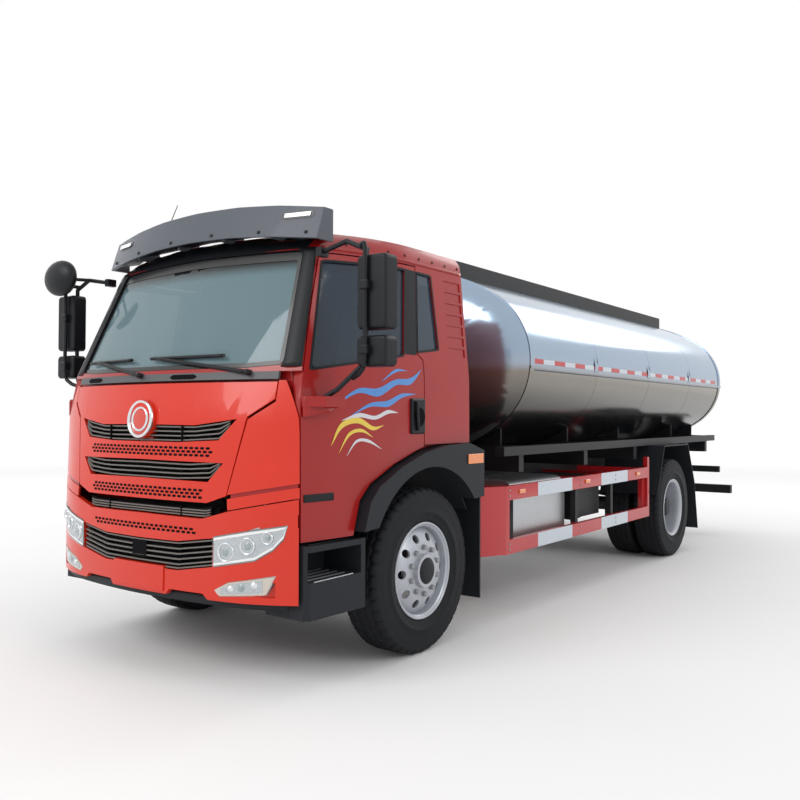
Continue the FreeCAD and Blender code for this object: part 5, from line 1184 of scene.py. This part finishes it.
def cushion(name, middleX, middleZ, halfLong, halfWide, halfThick, lean, y):
    u = np.linspace(-math.pi, math.pi, 72, endpoint=False)[None, :]
    v = np.linspace(-math.pi / 2 + 0.02, math.pi / 2 - 0.02, 37)[:, None]

    def powered(wave, exponent):
        return np.sign(wave) * np.abs(wave) ** exponent

    # superellipsoid: square in plan, soft at the rim
    cosU, sinU = powered(np.cos(u), 0.35), powered(np.sin(u), 0.35)
    cosV, sinV = powered(np.cos(v), 0.55), powered(np.sin(v), 0.55)
    along, across, up = cosU * cosV, sinU * cosV, sinV
    up = up * (1 - 0.18 * np.maximum(np.abs(along), np.abs(across)) ** 4)
    # sewn channels: two along the piece, and short ones across its middle
    lengthways = 0.10 * np.exp(-((np.abs(across) - 0.52) / 0.035) ** 2)
    crossways = 0.07 * np.exp(-((((along + 1) * 2.5) % 1 - 0.5) / 0.09) ** 2) * (np.abs(across) < 0.5)
    channel = lengthways + crossways
    up = up - np.sign(up) * channel * (np.abs(up) > 0.3)
    a, b, c = along * halfLong, across * halfWide, up * halfThick + 0 * along
    turn = math.radians(lean)
    x = middleX + a * math.cos(turn) * (-1 if lean > 45 else 1) - c * math.sin(turn)
    z = middleZ + a * math.sin(turn) + c * math.cos(turn) * (1 if lean < 45 else -1)
    piece = sheetPiece(name, place(x, y + b, z), "cab", "seatCloth", wrapColumns=True)
    work = bmesh.new()
    work.from_mesh(piece.data)
    bmesh.ops.holes_fill(work, edges=[edge for edge in work.edges if edge.is_boundary])
    work.to_mesh(piece.data)
    work.free()
    outwards(piece)
    return piece


for y, side in ((520.0, "left"), (-520.0, "right")):
    for name, values in seatForms.items():
        cushion(name + "_" + side, *values, y)
        bpy.data.objects[name + "_" + side].data.shade_smooth()
    base = place(-150, y - 200, 1292), place(330, y + 200, 1545)
    blockPiece("seatBase_" + side, base[0], base[1], "cab", "dashPlastic", 0.02)
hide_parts("seats")
bpy.data.objects.remove(skins["seats"])
print("seats, mirrors and strips ready")

# grille blades: each follows the opening between its lower and upper edge, all of one opening in one mesh
openings = {  # half lengths, lower and upper edge as (y, z), blades' shares of the height, body, set back by
    "bladesUpper": (655.0, ([0, 300, 596, 708], [1343, 1343, 1358, 1477]),
                    ([0, 420, 708], [1444, 1440, 1477]), (0.10, 0.36, 0.62, 0.88), "flap"),
    "bladesMiddle": (610.0, ([0, 300, 545, 655], [1128, 1128, 1140, 1250]),
                     ([0, 400, 655], [1235, 1230, 1250]), (0.10, 0.36, 0.62, 0.88), "flap"),
    "bladesGap": (545.0, ([0, 506, 690], [928, 924, 974]), ([0, 530, 690], [984, 984, 1040]),
                  (0.16, 0.42, 0.68), "chassis", 16.0),
    "bladesLow": (588.0, ([0, 330, 592], [624, 624, 666]), ([0, 330, 598], [783, 786, 822]),
                  (0.05, 0.18, 0.36, 0.54, 0.72, 0.92), "chassis"),
}


def blades(name, half, low, high, shares, body, back=0.0):
    y = np.linspace(-half, half, 81)
    low, high = np.interp(np.abs(y), *low), np.interp(np.abs(y), *high)
    ring = np.array([(-9, -4.5), (-6, 0), (-9, 4.5), (-24, 5), (-27, 0), (-24, -5)])
    ring[:, 0] -= back
    verts, faces = [], []
    for share in shares:
        z = low + share * (high - low)
        points = place((frontX(y, z)[:, None] + ring[:, 0]), y[:, None], z[:, None] + ring[:, 1])
        here = gridFaces(len(y), len(ring), False, True).tolist()
        here += [list(range(6)), list(range((len(y) - 1) * 6, len(y) * 6))]
        faces += [[i + len(verts) for i in face] for face in here]
        verts += points.reshape(-1, 3).tolist()
    outwards(newPiece(name, verts, faces, body, "slatGrey"))


for name, values in openings.items():
    blades(name, *values)

# step in the cab's paint behind the seams of the shoulders; it takes the sides' red, the copy with painted shade
for sign, side in ((1, "left"), (-1, "right")):
    ys = np.linspace(700, 1056, 24)
    frontPatch("shoulderStep_" + side, sign * ys, np.interp(ys, [684, 1160], [1000, 1076]),
               np.interp(ys, [674, 1160], [1068, 1158]), -7.0, bodyOf["corner_panels"], "shadedSideRed")

# the bumper's inner beam is a little too long, so its ends are drawn just inside the skin
beamEnd = {"y": (900, 962), "z": (518, 602), "proud": 1.5, "inside": 30}
bumper = skins["front_bumper"].data
for vertex in bumper.vertices:
    x, y, z = (vertex.co.x - frontAxleX) / mm, vertex.co.y / mm, vertex.co.z / mm
    atEnd = beamEnd["y"][0] < abs(y) < beamEnd["y"][1] and beamEnd["z"][0] < z < beamEnd["z"][1]
    if atEnd and x > float(frontX(y, z)) + beamEnd["proud"]:
        vertex.co.x = float(frontX(y, z) - beamEnd["inside"]) * mm + frontAxleX
print("grilles ready")

# camera, floor and light
cameraPlace = {"at": (7.3245, 4.1365, 1.4972), "yaw": 215.747, "pitch": 1.077, "roll": 0.2, "lens": 37.93}
yaw, pitch = math.radians(cameraPlace["yaw"]), math.radians(cameraPlace["pitch"])
look = Vector((math.cos(pitch) * math.cos(yaw), math.cos(pitch) * math.sin(yaw), math.sin(pitch)))
cameraData = bpy.data.cameras.new("photoCamera")
cameraData.lens = cameraPlace["lens"]
cameraData.sensor_width = 36.0
cameraData.clip_end = 400.0
camera = bpy.data.objects.new("photoCamera", cameraData)
camera.location = cameraPlace["at"]
camera.rotation_mode = "QUATERNION"
roll = Quaternion((0, 0, 1), math.radians(cameraPlace["roll"]))
camera.rotation_quaternion = look.to_track_quat("-Z", "Y") @ roll
bpy.context.scene.collection.objects.link(camera)
bpy.context.scene.camera = camera

floorSize = {"half": 120.0, "colour": (0.90, 0.90, 0.90)}


def makeFloor():
    half = floorSize["half"]
    mesh = bpy.data.meshes.new("studioFloor")
    mesh.from_pydata([(-half, -half, 0), (half, -half, 0), (half, half, 0), (-half, half, 0)], [],
                     [(0, 1, 2, 3)])
    # far from the truck the paper glows white, so that no horizon shows
    finish = Finish("floorPaper", Roughness=0.9, Specular_IOR_Level=0.1, Emission_Strength=1.0)
    reach = finish.node("ShaderNodeVectorMath", {"operation": "LENGTH"}, {0: finish.place()}, "Value")
    far = ((reach - 6.0) / 16.0).clamped()
    finish.put(Base_Color=finish.mix(far, finish.mix(finish.noise(0.7, 2.0), floorSize["colour"],
                                                     (0.88, 0.88, 0.88)), (0, 0, 0)))
    finish.put(Emission_Color=finish.mix(far, (0, 0, 0), (1, 1, 1)))
    mesh.materials.append(finish.material)
    floor = bpy.data.objects.new("studioFloor", mesh)
    bpy.context.scene.collection.objects.link(floor)


makeFloor()

# area lamps: place, what they face, size in metres and watts
lamps = {
    "keyFront": dict(at=(14.0, -3.0, 9.0), to=(2.0, 0.0, 1.2), size=7.0, watts=700.0),
    "fillLeft": dict(at=(2.0, 14.0, 8.0), to=(0.0, 0.0, 1.3), size=8.0, watts=420.0),
    "fillRight": dict(at=(-2.0, -14.0, 8.0), to=(0.0, 0.0, 1.3), size=8.0, watts=380.0),
    "backTop": dict(at=(-12.0, 2.0, 9.0), to=(-2.0, 0.0, 1.5), size=7.0, watts=380.0),
}
for name, lamp in lamps.items():
    data = bpy.data.lights.new(name, "AREA")
    data.shape = "DISK"
    data.size = lamp["size"]
    data.energy = lamp["watts"]
    light = bpy.data.objects.new(name, data)
    light.location = lamp["at"]
    light.rotation_mode = "QUATERNION"
    light.rotation_quaternion = (Vector(lamp["to"]) - Vector(lamp["at"])).to_track_quat("-Z", "Y")
    bpy.context.scene.collection.objects.link(light)

worldLight = {"strength": 0.75, "seen": 1.0}


def makeWorld():
    # full white for camera, see-through and mirror rays, and a dimmer white that lights the truck
    world = bpy.data.worlds.new("studioWorld")
    bpy.context.scene.world = world
    world.use_nodes = True
    tree = world.node_tree
    tree.nodes.clear()

    def node(kind, *sources):
        made = tree.nodes.new(kind)
        for number, source in enumerate(sources):
            tree.links.new(source, made.inputs[number])
        return made

    def eitherOf(first, second):
        made = node("ShaderNodeMath", first, second)
        made.operation = "MAXIMUM"
        return made.outputs[0]

    def white(strength):
        made = node("ShaderNodeBackground")
        made.inputs["Color"].default_value = (1, 1, 1, 1)
        made.inputs["Strength"].default_value = strength
        return made.outputs[0]

    path = node("ShaderNodeLightPath").outputs
    seen = eitherOf(eitherOf(path["Is Camera Ray"], path["Is Transmission Ray"]), path["Is Glossy Ray"])
    both = node("ShaderNodeMixShader", seen, white(worldLight["strength"]), white(worldLight["seen"]))
    node("ShaderNodeOutputWorld", both.outputs[0])


makeWorld()
bpy.context.scene.view_settings.view_transform = "Standard"
print("camera and light ready")
